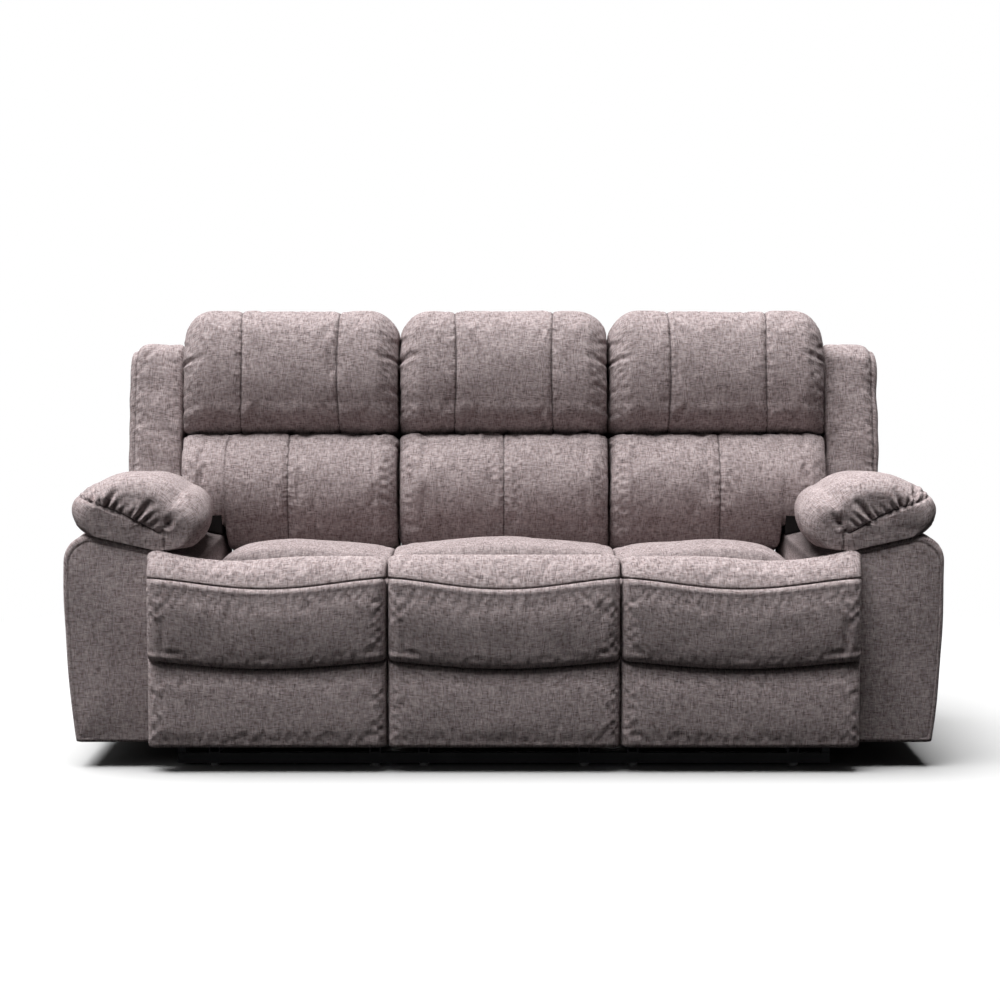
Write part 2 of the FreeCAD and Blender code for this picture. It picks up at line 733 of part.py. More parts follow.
def front_links(seat, middle):
    pieces = []
    for side in (-1, 1):
        across = pair_span(middle, side, layer[4], layer[4] + plate)
        bar = link_bar("front_web", across, as_size(0), half_link)
        bored = cut("front_bored", bar, [hole(across, 0, fit), hole(across, half_link, size("open_fit"))])
        pieces.append(turned(bored, tilt, pivot_y - 2 * reach_y, pivot_z - 2 * reach_z))
    keep(f"{seat}_front_links", group(f"{seat}_front", pieces))


def footrest_brackets(seat, middle):
    pieces = []
    top = (pivot_y - 2 * reach_y, pivot_z)
    low = (pivot_y - 3 * reach_y, pivot_z - reach_z)
    half = size("link_width") / 2 + 1
    for side in (-1, 1):
        across = pair_span(middle, side, layer[3], layer[3] + plate)
        parts = [box("bracket_leaf", across, (board_back, low[0]), (low[1] - half, top[1] + half))]
        for y, z in (top, low):
            parts.append(rod("bracket_eye", across, y, z, half))
            parts.append(box("bracket_arm", across, (board_back, y), (z - half, z + half)))
        parts.append(box("bracket_flange",
                         pair_span(middle, side, layer[3] - size("flange_width"), layer[3] + plate),
                         (board_back, board_back + size("flange_thickness")),
                         (low[1] - half, top[1] + half)))
        solid = cut("bracket_bored", fuse("bracket_blank", parts),
                    [rod("bracket_hole", across, top[0], top[1], pin + fit)])
        low_pin = rod("low_pin", pair_span(middle, side, layer[4], layer[3] + plate),
                      low[0], low[1], pin)
        pieces.append(fuse("bracket", [solid, low_pin]))
    keep(f"{seat}_footrest_brackets", group(f"{seat}_brackets", pieces))


def footrest_board(seat, span):
    body = doc.addObject("PartDesign::Body", f"{seat}_board")
    plane = next(part for part in body.Origin.OriginFeatures if part.Role == "XZ_Plane")
    sketch = body.newObject("Sketcher::SketchObject", f"{seat}_board_outline")
    sketch.AttachmentSupport = [(plane, "")]
    sketch.MapMode = "FlatFace"
    low_x = span[0] + size("board_inset")
    high_x = span[1] - size("board_inset")
    low_z = size("footrest_low") + size("board_inset")
    corners = [Vector(low_x, low_z), Vector(high_x, low_z), Vector(high_x, board_top),
               Vector(low_x, board_top)]
    for here, there in zip(corners, corners[1:] + corners[:1]):
        sketch.addGeometry(Part.LineSegment(here, there))
    for count in range(4):
        sketch.addConstraint(Sketcher.Constraint("Coincident", count, 2, (count + 1) % 4, 1))
    for count in (0, 2):
        sketch.addConstraint(Sketcher.Constraint("Horizontal", count))
        sketch.addConstraint(Sketcher.Constraint("Vertical", count + 1))
    spans = (("DistanceX", -1, 1, 0, 1, low_x), ("DistanceX", -1, 1, 1, 1, high_x),
             ("DistanceY", -1, 1, 0, 1, low_z), ("DistanceY", -1, 1, 2, 1, board_top))
    for kind, base, base_end, line, end, value in spans:
        index = sketch.addConstraint(Sketcher.Constraint(kind, base, base_end, line, end, float(value)))
        sketch.setExpression(f"Constraints[{index}]", value.text)
    pad = body.newObject("PartDesign::Pad", f"{seat}_board_pad")
    pad.Profile = sketch
    pad.setExpression("Length", size("board_thickness").text)
    doc.recompute()
    body.setExpression("Placement.Base.y", board_back.text)
    keep(f"{seat}_footrest_board", body)


def upper_pad_section(x, low, high):
    """Side view of the bulging upper footrest pad; its lower edge droops in the middle."""
    share = (x - low) / (high - low)
    draw = end_draw(min(x - low, high - x), 22, 18)
    radius = seam_radius(x, low, high) + size("seam_clearance")
    split = size("pad_split") + size("pad_gap")
    lip = split + 4 - size("split_droop") * math.sin(math.pi * share) ** 1.2
    back = board_front - gap
    face = front + 1 + draw
    tip = parting_point(face + 6, radius)
    top = parting_point(back, radius)
    middle = parting_point((back + face + 6) / 2, radius)

    def place(y, z):
        return Vector(x, y, z)

    belly = 0.42 * lip + 0.58 * tip[1]
    runs = [(face + 14, lip - 2), ((face + 4, lip + 3), (face + 1.5, lip + 14)),
            ((face, belly), (face + 2, tip[1] - 16)),
            ((face + 2.5, tip[1] - 6), tip), (middle, top)]
    return section(place, (back, split), runs)


def lower_pad_section(x, low, high):
    """Side view of the flatter lower footrest pad, tucked behind the lip of the upper one."""
    share = (x - low) / (high - low)
    draw = end_draw(min(x - low, high - x), 22, 14)
    split = size("pad_split")
    lip = split + 2 - size("split_droop") * math.sin(math.pi * share) ** 1.2
    back = board_front - gap
    face = front + size("lower_pad_set_back") + draw
    low_z = size("footrest_low")

    def place(y, z):
        return Vector(x, y, z)

    runs = [(back, low_z), (face + 8, low_z), ((face + 2.5, low_z + 2.5), (face, low_z + 9)),
            ((face - 4, 0.5 * (low_z + lip)), (face + 3, lip - 12)),
            ((face + 8, lip - 3), (face + 16, lip))]
    return section(place, (back, split), runs)


def footrest_pads(seat, span):
    for name, make in (("upper", upper_pad_section), ("lower", lower_pad_section)):
        wires = [make(x, *span) for x in stations(*span, 24)]
        keep(f"{seat}_footrest_{name}_pad", soft(f"{seat}_{name}_pad", loft(wires)))


# Back: a timber ladder on the back hinge, two pillows in front and a padded panel behind

def back_frame(seat, middle, wide):
    face = size("back_face")
    along = (face, face + size("back_timber"))
    stile = size("back_stile")
    outer = layer[1]
    foot = size("back_foot")
    top = size("back_top")
    rail = size("back_rail")
    shoulder = top - rail
    bars = [box("centre_stile", (middle - stile / 2, middle + stile / 2), along, (foot, top))]
    for side in (-1, 1):
        bars.append(box("stile", pair_span(middle, side, outer - stile, outer), along,
                        (foot, shoulder)))
    bars.append(box("low_rail", (middle - outer, middle + outer), along,
                    (foot + rail, foot + 2 * rail)))
    edge = (wide[0] + size("board_inset"), wide[1] - size("board_inset"))
    ear = size("ear_height") + size("board_inset")
    for high in (ear + rail, shoulder):
        bars.append(box("wide_rail", edge, along, (high - rail, high)))
    bars.append(box("crest_rail", inset(wide, size("head_corner")), along, (shoulder, top)))
    for low_x in (edge[0], edge[1] - stile):
        bars.append(box("outer_stile", (low_x, low_x + stile), along, (ear, shoulder)))
    for side in (-1, 1):
        across = pair_span(middle, side, layer[1], layer[1] + plate)
        eye = rod("hinge_eye", across, 0, 0, size("hinge_pin") + size("hinge_eye"))
        tongue = box("hinge_tongue", across, (-6, along[1]), (0, size("lumbar_low") - size("pillow_gap")))
        bars.append(cut("hinge_bracket", fuse("hinge_blank", [eye, tongue]),
                        [rod("hinge_hole", across, 0, 0, size("hinge_pin") + fit)]))
    keep(f"{seat}_back_frame", lean_back(fuse(f"{seat}_back_ladder", bars)))


def back_panel(seat, wide, narrow):
    """The padded rear panel: wide above the arms, narrow between them, with round top corners."""
    near = size("back_face") + size("back_timber") + gap
    corner = size("head_corner")
    bend = corner * (1 - math.sqrt(0.5))
    top = size("back_top")
    ear = size("ear_height")
    foot = size("panel_foot")
    radius = 20.0
    turn = radius * (1 - math.sqrt(0.5))

    def place(x, z):
        return Vector(x, near, z)

    start = (narrow[0], foot)
    runs = [(narrow[1], foot), (narrow[1], ear)]
    if wide[1] > narrow[1]:
        runs += [(wide[1], ear)]
    runs += [(wide[1], top - corner), ((wide[1] - bend, top - bend), (wide[1] - corner, top)),
             (wide[0] + corner, top), ((wide[0] + bend, top - bend), (wide[0], top - corner))]
    if wide[0] < narrow[0]:
        runs += [(wide[0], ear + radius), ((wide[0] + turn, ear + turn), (wide[0] + radius, ear)),
                 (narrow[0], ear)]
    face = Part.Face(section(place, start, runs))
    thickness = size("back_panel_thickness")
    keep(f"{seat}_back_panel", lean_back(soft(f"{seat}_panel",
                                              face.extrude(Vector(0, thickness, 0)))))


def lumbar_section(x, ends, low, channels):
    """Side view of the lumbar pillow, upright; its face is drawn in at its ends and channels."""
    draw = end_draw(min(x - ends[0], ends[1] - x), 45, 42)
    near_channel = min([abs(x - place) for place in channels] + [99])
    draw += size("channel_depth") * max(0.0, 1 - near_channel / 14)
    face = -size("lumbar_front") + draw
    high = size("lumbar_high") - 0.12 * draw
    back = -gap + size("back_face")

    def place(y, z):
        return Vector(x, y, z)

    runs = [(face + 50, high), ((face + 22, high - 5), (face + 10, high - 24)),
            ((face, 0.5 * (low + high)), (face + 8, low + 34)),
            ((face + 22, low + 8), (face + 55, low))]
    return section(place, (back, low), [(back, high)] + runs)


def head_section(x, ends, channels):
    """Side view of the head pillow, which wraps over the top of the back frame."""
    distance = min(x - ends[0], ends[1] - x)
    draw = end_draw(distance, 60, 58)
    drop = end_draw(distance, size("head_corner"), size("head_corner") - 20)
    near_channel = min([abs(x - place) for place in channels] + [99])
    draw += size("channel_depth") * max(0.0, 1 - near_channel / 14)
    face = -size("head_front") + draw
    low = size("lumbar_high") + size("pillow_gap")
    ledge = size("back_top") + gap - drop
    high = size("back_top") + size("head_rise") - drop - 0.1 * draw
    back = size("back_face") - gap
    rear = size("back_face") + size("back_timber") + size("back_panel_thickness")

    def place(y, z):
        return Vector(x, y, z)

    runs = [((face + 20, low + 6), (face + 8, low + 30)),
            ((face, low + 0.45 * (high - low)), (face + 26, high - 70)),
            ((face + 50, high - 18), (face + 84, high)),
            ((-20, high + 1), (rear - 22, high - 6)),
            ((rear - 6, high - 11), (rear, high - 24)),
            (rear, ledge), (back, ledge), (back, low)]
    return section(place, (face + 46, low), runs)


def panels(ends, channels):
    """The spans between sewn channels across a pillow."""
    marks = [ends[0]] + channels + [ends[1]]
    return list(zip(marks, marks[1:]))


# Spacing of the sections at a pillow's outer side, which has a long round, and at a sewn channel
SIDE_REACHES = (45.0, 14.0)


def panel_stations(span, ends):
    """Sections of one panel, closer together at its two sides."""
    end_reach, channel_reach = SIDE_REACHES
    return stations(*span, end_reach if span[0] == ends[0] else channel_reach,
                    end_reach if span[1] == ends[1] else channel_reach)


def pillows(seat, wide, narrow):
    """The lumbar and head pillows; the ear of the lumbar pillow above the arm is a solid by itself."""
    centre = 0.5 * (wide[0] + wide[1])
    halves = []
    for span in panels(narrow, [centre]):
        wires = [lumbar_section(x, wide, size("lumbar_low"), [centre])
                 for x in panel_stations(span, wide)]
        halves.append(loft(wires))
    lumbar = [joined(halves)]
    if wide[0] < narrow[0]:
        ear_wires = [lumbar_section(x, wide, size("ear_height"), [])
                     for x in stations(wide[0], narrow[0], *SIDE_REACHES)]
        lumbar.append(loft(ear_wires))
    pillow = lumbar[0] if len(lumbar) == 1 else Part.makeCompound(lumbar)
    keep(f"{seat}_lumbar_pillow", lean_back(soft(f"{seat}_lumbar", pillow)))
    seams = [centre - size("head_seam"), centre + size("head_seam")]
    head = [loft([head_section(x, wide, seams) for x in panel_stations(span, wide)])
            for span in panels(wide, seams)]
    keep(f"{seat}_head_pillow", lean_back(soft(f"{seat}_head", joined(head))))


# The pull tab of the middle seat slides in the gap beside it

tab_y = (-arm_front + size("tab_set_back"), -arm_front + size("tab_set_back") + size("tab_width"))
tab_x = (-middle_edge - size("tab_clearance") - size("tab_thickness"),
         -middle_edge - size("tab_clearance"))
tab_top = deck + size("edge_rise") - size("tab_drop")
tab_z = (tab_top - size("tab_length"), tab_top)
keep("middle_pull_tab", box("PullTab", tab_x, tab_y, tab_z))


def make_seat(seat, middle, roll, cushion, wide, narrow):
    seat_frame(seat, middle, seat == "middle")
    seat_springs(seat, middle)
    seat_cushion(seat, roll, cushion)
    mechanism_plates(seat, middle)
    drive_links(seat, middle)
    crossing_links(seat, middle)
    front_links(seat, middle)
    footrest_brackets(seat, middle)
    footrest_board(seat, roll)
    footrest_pads(seat, roll)
    back_frame(seat, middle, wide)
    back_panel(seat, wide, narrow)
    pillows(seat, wide, narrow)


middle_span = (-middle_edge, middle_edge)
make_seat("middle", as_size(0), middle_span, middle_span, middle_span, middle_span)
outer_narrow = (-seat_outer_edge, -outer_inner_edge)
outer_wide = (-wing_x[0] + size("wing_gap"), -outer_inner_edge)
outer_front = (-arm_inner - size("front_overlap"), -outer_inner_edge)
make_seat("left", -outer_middle, outer_front, outer_narrow, outer_wide, outer_narrow)
for label in [name for name in nodes if name.startswith("left_") and name != "left_release_handle"]:
    if label.replace("left_", "right_") not in nodes:
        other = label.replace("left_", "right_")
        keep(other, mirrored(other + "_piece", nodes[label]))

doc.recompute()

failed = [thing.Name for thing in doc.Objects if "Invalid" in thing.State or "Error" in thing.State]
for label, thing in nodes.items():
    if thing.Shape.isNull() or not thing.Shape.isValid() or thing.Shape.Volume <= 0:
        failed.append(label)
if failed:
    raise RuntimeError("these pieces failed: " + ", ".join(failed))
for label, thing in nodes.items():
    thing.Shape.exportStep(f"parts/{label}.step")
print(len(nodes), "pieces written")
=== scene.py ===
import json
import math

import bpy
import numpy as np
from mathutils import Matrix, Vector


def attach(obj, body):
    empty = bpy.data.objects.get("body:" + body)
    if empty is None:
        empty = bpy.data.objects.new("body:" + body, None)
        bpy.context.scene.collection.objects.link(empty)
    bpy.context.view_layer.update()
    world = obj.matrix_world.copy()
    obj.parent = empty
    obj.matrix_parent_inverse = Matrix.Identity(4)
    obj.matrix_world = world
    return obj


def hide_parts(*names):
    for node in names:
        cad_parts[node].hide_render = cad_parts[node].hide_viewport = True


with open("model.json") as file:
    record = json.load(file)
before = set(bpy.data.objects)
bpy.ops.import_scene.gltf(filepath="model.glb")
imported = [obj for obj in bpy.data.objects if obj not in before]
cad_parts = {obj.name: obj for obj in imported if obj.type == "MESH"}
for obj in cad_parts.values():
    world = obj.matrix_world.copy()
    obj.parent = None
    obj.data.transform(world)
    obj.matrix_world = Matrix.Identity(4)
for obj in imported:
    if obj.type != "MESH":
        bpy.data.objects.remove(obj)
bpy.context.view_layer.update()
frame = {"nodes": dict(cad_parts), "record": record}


# Upholstery cloth: a melange of grey and mauve linen-look yarns in a plain weave, with slubs in
# both directions. It is sewn into covers, and the sewn lines pull it in. Painted shade darkens
# its colour along the seams and in some hollows.

def adjusted(thing, **settings):
    """A thing of the scene with its settings given by name."""
    for name, value in settings.items():
        setattr(thing, name, value)
    return thing


class Reading:
    """A number read off a surface; arithmetic on readings adds the Math nodes."""

    def __init__(self, finish, socket):
        self.finish, self.socket = finish, socket

    def other(self, place):
        return Reading(self.finish, self.socket.node.outputs[place])

    def maths(self, operation, *values):
        return self.finish.put("ShaderNodeMath", {"operation": operation},
            dict(enumerate((self,) + values)))

    def __add__(self, value):
        return self.maths("ADD", value)

    def __mul__(self, value):
        return self.maths("MULTIPLY", value)

    def __sub__(self, value):
        return self.maths("SUBTRACT", value)

    def __truediv__(self, value):
        return self.maths("DIVIDE", value)

    def __rsub__(self, value):
        return self * -1 + value

    __radd__ = __add__
    __rmul__ = __mul__

    def clamped(self, low=0.0, high=1.0):
        return self.maths("MAXIMUM", low).maths("MINIMUM", high)


class Finish:
    """A surface finish: a Principled material whose constants are given by name."""

    def __init__(self, name, **constants):
        self.material = bpy.data.materials.new(name)
        self.material.use_nodes = True
        self.shader = self.material.node_tree.nodes["Principled BSDF"]
        for socket, value in constants.items():
            self.shader.inputs[socket.replace("_", " ")].default_value = value

    def put(self, kind, settings=None, values=None, out=0):
        node = adjusted(self.material.node_tree.nodes.new(kind), **(settings or {}))
        for place, value in (values or {}).items():
            self.join(node.inputs[place], value)
        return Reading(self, node.outputs[out])

    def join(self, socket, value):
        if isinstance(value, Reading):
            self.material.node_tree.links.new(value.socket, socket)
        else:
            socket.default_value = value

    def feed(self, **readings):
        for socket, reading in readings.items():
            self.join(self.shader.inputs[socket.replace("_", " ")], reading)

    def mix(self, share, first, second):
        return self.put("ShaderNodeMix", {"data_type": "RGBA"}, {0: share, 6: first, 7: second}, 2)

    def noise(self, vector, scale, detail, dimensions="3D"):
        return self.put("ShaderNodeTexNoise", {"noise_dimensions": dimensions},
            {"Vector": vector, "Scale": scale, "Detail": detail})

    def bump(self, height, strength, distance):
        return self.put("ShaderNodeBump", {}, {"Height": height, "Strength": strength,
            "Distance": distance})


def woven_cloth(name, deep, pale):
    """Two sets of yarns on the piece's own weave map: each yarn has slubs along its length, the two
    are added, a fine over-and-under relief and fuzz lie on top, and painted shade along the seams
    and in some hollows darkens the colour."""
    yarn, slub, relief = 0.0027, 0.017, 0.0011
    cloth = Finish(name, Roughness=0.9, Sheen_Weight=0.04, Sheen_Roughness=0.5,
        Specular_IOR_Level=0.02)
    place = cloth.put("ShaderNodeUVMap", {"uv_map": "weave"})
    across = cloth.put("ShaderNodeSeparateXYZ", {}, {0: place})
    along = across.other(1)

    def slubs(run, row, shift):
        number = (row / yarn).maths("FLOOR")
        spot = cloth.put("ShaderNodeCombineXYZ", {}, {0: run / slub + number * 5.31 + shift,
            1: number * 3.7 + shift, 2: shift})
        return cloth.noise(spot, 1.0, 1.0, "2D")

    weft = slubs(across, along, 0.0)
    warp = slubs(along, across, 40.0)
    fuzz = cloth.noise(place, 520.0, 1.0, "2D")
    patch = cloth.noise(place, 9.0, 3.0, "2D")
    tone = ((weft + warp - 1.0) * 1.05 + (fuzz - 0.5) * 0.25 + (patch - 0.5) * 0.12 + 0.5).clamped()
    colour = cloth.mix(tone, deep, pale)
    hue = cloth.noise(place, 140.0, 1.0, "2D")
    colour = cloth.mix(((hue - 0.5) * 2.6 + 0.5).clamped(), colour,
        cloth.mix(0.16, colour, (0.46, 0.30, 0.26, 1.0)))
    # Painted shade: the mesh's mask mixes the colour towards near black along seams and in hollows.
    painted_shade = cloth.put("ShaderNodeAttribute", {"attribute_name": "painted_shade"}, out=2)
    cloth.feed(Base_Color=cloth.mix(painted_shade * 0.8, colour, (0.035, 0.027, 0.027, 1.0)))
    ridge = (across * (math.pi / relief)).maths("SINE") * (along * (math.pi / relief)).maths("SINE")
    height = tone * 0.6 + ridge * 0.25 + fuzz * 0.3
    cloth.feed(Normal=cloth.bump(height, 0.8, 0.0018))
    return cloth.material


def shade_lining_cloth():
    """Thin black spun-bonded cloth as used under and inside sofas: faint fibres, no weave. On the
    gussets it is painted shade.
    """
    black = Finish("black_shade_lining", Specular_IOR_Level=0.05)
    place = black.put("ShaderNodeTexCoord", out=3)
    fibres = black.noise(place, 700.0, 2.0)
    black.feed(Base_Color=black.mix(fibres, (0.008, 0.007, 0.007, 1.0), (0.026, 0.023, 0.023, 1.0)),
        Roughness=fibres * 0.1 + 0.85, Normal=black.bump(fibres, 0.3, 0.0004))
    return black.material


shade_lining = shade_lining_cloth()
upholstery = woven_cloth("melange_weave", (0.165, 0.131, 0.134, 1.0), (0.60, 0.52, 0.523, 1.0))


# Seat cushions: foam on springs in a sewn cover, one per seat. Each has a crowned deck with a tail
# that runs in under the back, and a padded roll across the front whose underside follows the seam.

SEATS = {"left": {"front": (-815.0, -266.05), "narrow": (-700.0, -268.0), "wide": (-817.0, -266.4)},
    "middle": {"front": (-265.95, 265.95), "narrow": (-264.0, 264.0), "wide": (-265.6, 265.6)}}


def ramp(values):
    """Limits values to the range from 0 to 1."""
    return np.clip(values, 0.0, 1.0)


def bell(distance, width):
    """1 on a line, falling to nothing within a few widths of it."""
    return np.exp(-(distance / width) ** 2)


def arc_points(first, through, last):
    """Sixty points on the circle through three points, from the first to the last."""
    a, b, c = (complex(*point) for point in (first, through, last))
    w = (c - a) / (b - a)
    centre = (b - a) * (w - abs(w) ** 2) / (2j * w.imag) + a
    turn = np.angle((b - centre) / (a - centre)) + np.angle((c - centre) / (b - centre))
    points = centre + (a - centre) * np.exp(1j * turn * np.linspace(0.0, 1.0, 60))
    return np.stack([points.real, points.imag], axis=-1)


def outline(start, runs, count, soften, shown):
    """A closed profile through lines and three-point arcs, rounded by a Gaussian of `soften` mm
    and divided into `count` points, three times as many to the mm where `shown` is true."""
    pieces = []
    here = start
    for run in list(runs) + [start]:
        if isinstance(run[0], tuple):
            pieces.append(arc_points(here, run[0], run[1])[:-1])
            here = run[1]
        else:
            pieces.append(np.linspace(here, run, 40)[:-1])
            here = run
    path = np.concatenate(pieces + [np.array([start], float)])
    length = np.r_[0.0, np.cumsum(np.hypot(*np.diff(path, axis=0).T))]
    even = np.linspace(0.0, length[-1], 2048, endpoint=False)
    loop = np.interp(even, length, path[:, 0]) + 1j * np.interp(even, length, path[:, 1])
    waves = np.fft.fftfreq(2048, length[-1] / 2048)
    loop = np.fft.ifft(np.fft.fft(loop) * np.exp(-0.5 * (2 * np.pi * waves * soften) ** 2))
    weight = np.where(shown(loop.real, loop.imag), 1.0, 0.33)
    travel = np.r_[0.0, np.cumsum(weight)]
    at = np.interp(np.linspace(0.0, travel[-1], count, endpoint=False), travel, np.arange(2049.0))
    closed = np.r_[loop, loop[0]]
    return np.stack([np.interp(at, np.arange(2049.0), closed.real), np.interp(at, np.arange(2049.0),
        closed.imag)], axis=-1)


def places(low, high, spacing, seams=(), fine=1.6, ends=12.0):
    """Places from low to high, `spacing` apart, closer together at both ends and at the seams."""
    ruler = np.linspace(low, high, 4000)
    density = np.full(ruler.shape, 1.0 / spacing)
    for spot, reach in [(low, ends), (high, ends)] + [(seam, 9.0) for seam in seams]:
        density += (1.0 / fine) * bell(ruler - spot, reach)
    travel = np.r_[0.0, np.cumsum(0.5 * (density[1:] + density[:-1]) * np.diff(ruler))]
    return np.interp(np.linspace(0.0, travel[-1], int(travel[-1]) + 1), travel, ruler)


def drawn(distance, reach, amount):
    """How far a padded face is drawn in near its edge: a quarter ellipse over the reach."""
    share = ramp(1.0 - distance / reach)
    return amount * (1.0 - np.sqrt(1.0 - share ** 2))


def between(values, old, new):
    """Moves profile values from one pair of limits to another pair, one row for each place."""
    share = (values - old[0]) / (old[1] - old[0])
    low, high = (np.broadcast_to(limit, share.shape[:-1] + (1,)) if np.ndim(limit) == 0
        else limit[:, None] for limit in new)
    return low + share * (high - low)


def capped(x, y, z, dome, steps=(0.35, 0.6, 0.78, 0.9, 0.97)):
    """Rings of places, closed at each end: the last ring shrinks towards its middle in steps and
    rises as a shallow dome."""
    rings = np.stack(np.broadcast_arrays(x, y, z), axis=-1)
    ends = []
    for edge, inner in ((0, 1), (-1, -2)):
        ring = rings[edge]
        middle = ring.mean(axis=0)
        out = middle - rings[inner].mean(axis=0)
        out = out / np.linalg.norm(out)
        share = np.array(steps)[:, None, None]
        ends.append(middle + (ring - middle) * share + out * dome * (1.0 - share ** 2))
    return np.concatenate([ends[0], rings, ends[1][::-1]]), len(steps)


def skin_normals(rings):
    """Outward unit normals of a closed grid of rings, from its two tangents."""
    along = np.gradient(rings, axis=0)
    around = np.roll(rings, -1, axis=1) - np.roll(rings, 1, axis=1)
    normal = np.cross(along, around)
    normal /= np.linalg.norm(normal, axis=-1, keepdims=True) + 1e-9
    away = rings - rings.mean(axis=1, keepdims=True)
    return normal * np.sign((normal * away).sum())


def moved(rings, moves):
    """Rings pushed out along their normals, each place by its own move."""
    return rings + skin_normals(rings) * moves[..., None]


def faces_of(rows, count):
    """Quads between neighbouring rings and a fan to the pole at each end."""
    grid = np.arange(rows * count).reshape(rows, count)
    turned = np.roll(grid, -1, axis=1)
    quads = np.stack([grid[:-1], turned[:-1], turned[1:], grid[1:]], axis=-1)
    first = np.stack([turned[0], grid[0], np.full(count, rows * count)], axis=-1)
    last = np.stack([grid[-1], turned[-1], np.full(count, rows * count + 1)], axis=-1)
    return quads.reshape(-1, 4), np.concatenate([first, last])


def placed(name, data):
    """A new object in the scene."""
    thing = bpy.data.objects.new(name, data)
    bpy.context.scene.collection.objects.link(thing)
    return thing


def grid_mesh(name, rings, flip):
    """A closed mesh in metres from rings in mm, with a vertex in the middle of each end."""
    rows, count = rings.shape[:2]
    points = np.concatenate([rings.reshape(-1, 3), rings[[0, -1]].mean(axis=1)]) * 0.001
    quads, fans = faces_of(rows, count)
    if flip:
        quads, fans = quads[:, ::-1], fans[:, ::-1]
    mesh = bpy.data.meshes.new(name)
    mesh.from_pydata(points.tolist(), [], quads.tolist() + fans.tolist())
    return mesh


def turned_inside(rings):
    """True if the quads of these rings enclose a negative volume."""
    a, b = rings[:-1], np.roll(rings, -1, axis=1)[:-1]
    c, d = np.roll(rings, -1, axis=1)[1:], rings[1:]
    return (a * np.cross(b, c)).sum() + (a * np.cross(c, d)).sum() < 0


def woven_map(rings, caps):
    """Weave coordinates of each quad's corners in metres: length along the rings' front row by
    length round the middle ring, and on the two ends the flat place in the plane of the end."""
    rows, count = rings.shape[:2]
    middle = rings[rows // 2]
    around = np.r_[0.0, np.cumsum(np.linalg.norm(np.roll(middle, -1, axis=0) - middle, axis=-1))]
    steps = np.linalg.norm(np.diff(rings[:, ::7], axis=0), axis=-1).mean(axis=1)
    along = np.r_[0.0, np.cumsum(steps)]
    columns = np.stack([np.arange(count), np.arange(count) + 1] * 2, axis=-1)[:, [0, 1, 3, 2]]
    lines = np.arange(rows - 1)[:, None, None] + np.array([0, 0, 1, 1])
    weave = np.stack(np.broadcast_arrays(along[lines], around[columns][None]), axis=-1)
    axis = int(np.argmax(np.abs(rings[-1].mean(axis=0) - rings[0].mean(axis=0))))
    flat = np.delete(rings, axis, axis=-1)
    corners = np.stack([flat[:-1], np.roll(flat, -1, axis=1)[:-1], np.roll(flat, -1, axis=1)[1:],
        flat[1:]], axis=2)
    weave[:caps] = corners[:caps]
    weave[-caps:] = corners[-caps:]
    heart = flat[[0, -1]].mean(axis=1)
    near, far = np.roll(flat[[0, -1]], -1, axis=1)
    fans = [np.stack([near, flat[0], np.tile(heart[0], (count, 1))], axis=1),
        np.stack([flat[-1], far, np.tile(heart[1], (count, 1))], axis=1)]
    return weave.reshape(-1, 4, 2) * 0.001, np.concatenate(fans) * 0.001


def cubic(values, at, total, closed):
    """Catmull-Rom reading of a coarse table at every whole place from 0 to total."""
    if closed:
        values = np.concatenate([values, values[:1]])
        at = np.r_[at, total]
    place = np.arange(total, dtype=float)
    low = np.clip(np.searchsorted(at, place, side="right") - 1, 0, len(at) - 2)
    t = ((place - at[low]) / (at[low + 1] - at[low])).reshape((-1,) + (1,) * (values.ndim - 1))
    last = len(at) - 1
    before = np.where(low > 0, low - 1, last - 1 if closed else 0)
    after = np.where(low + 2 <= last, low + 2, 1 if closed else last)
    p, q, r, s = (values[index] for index in (before, low, low + 1, after))
    return q + 0.5 * t * (r - p + t * (2 * p - 5 * q + 4 * r - s + t * (3 * (q - r) + s - p)))


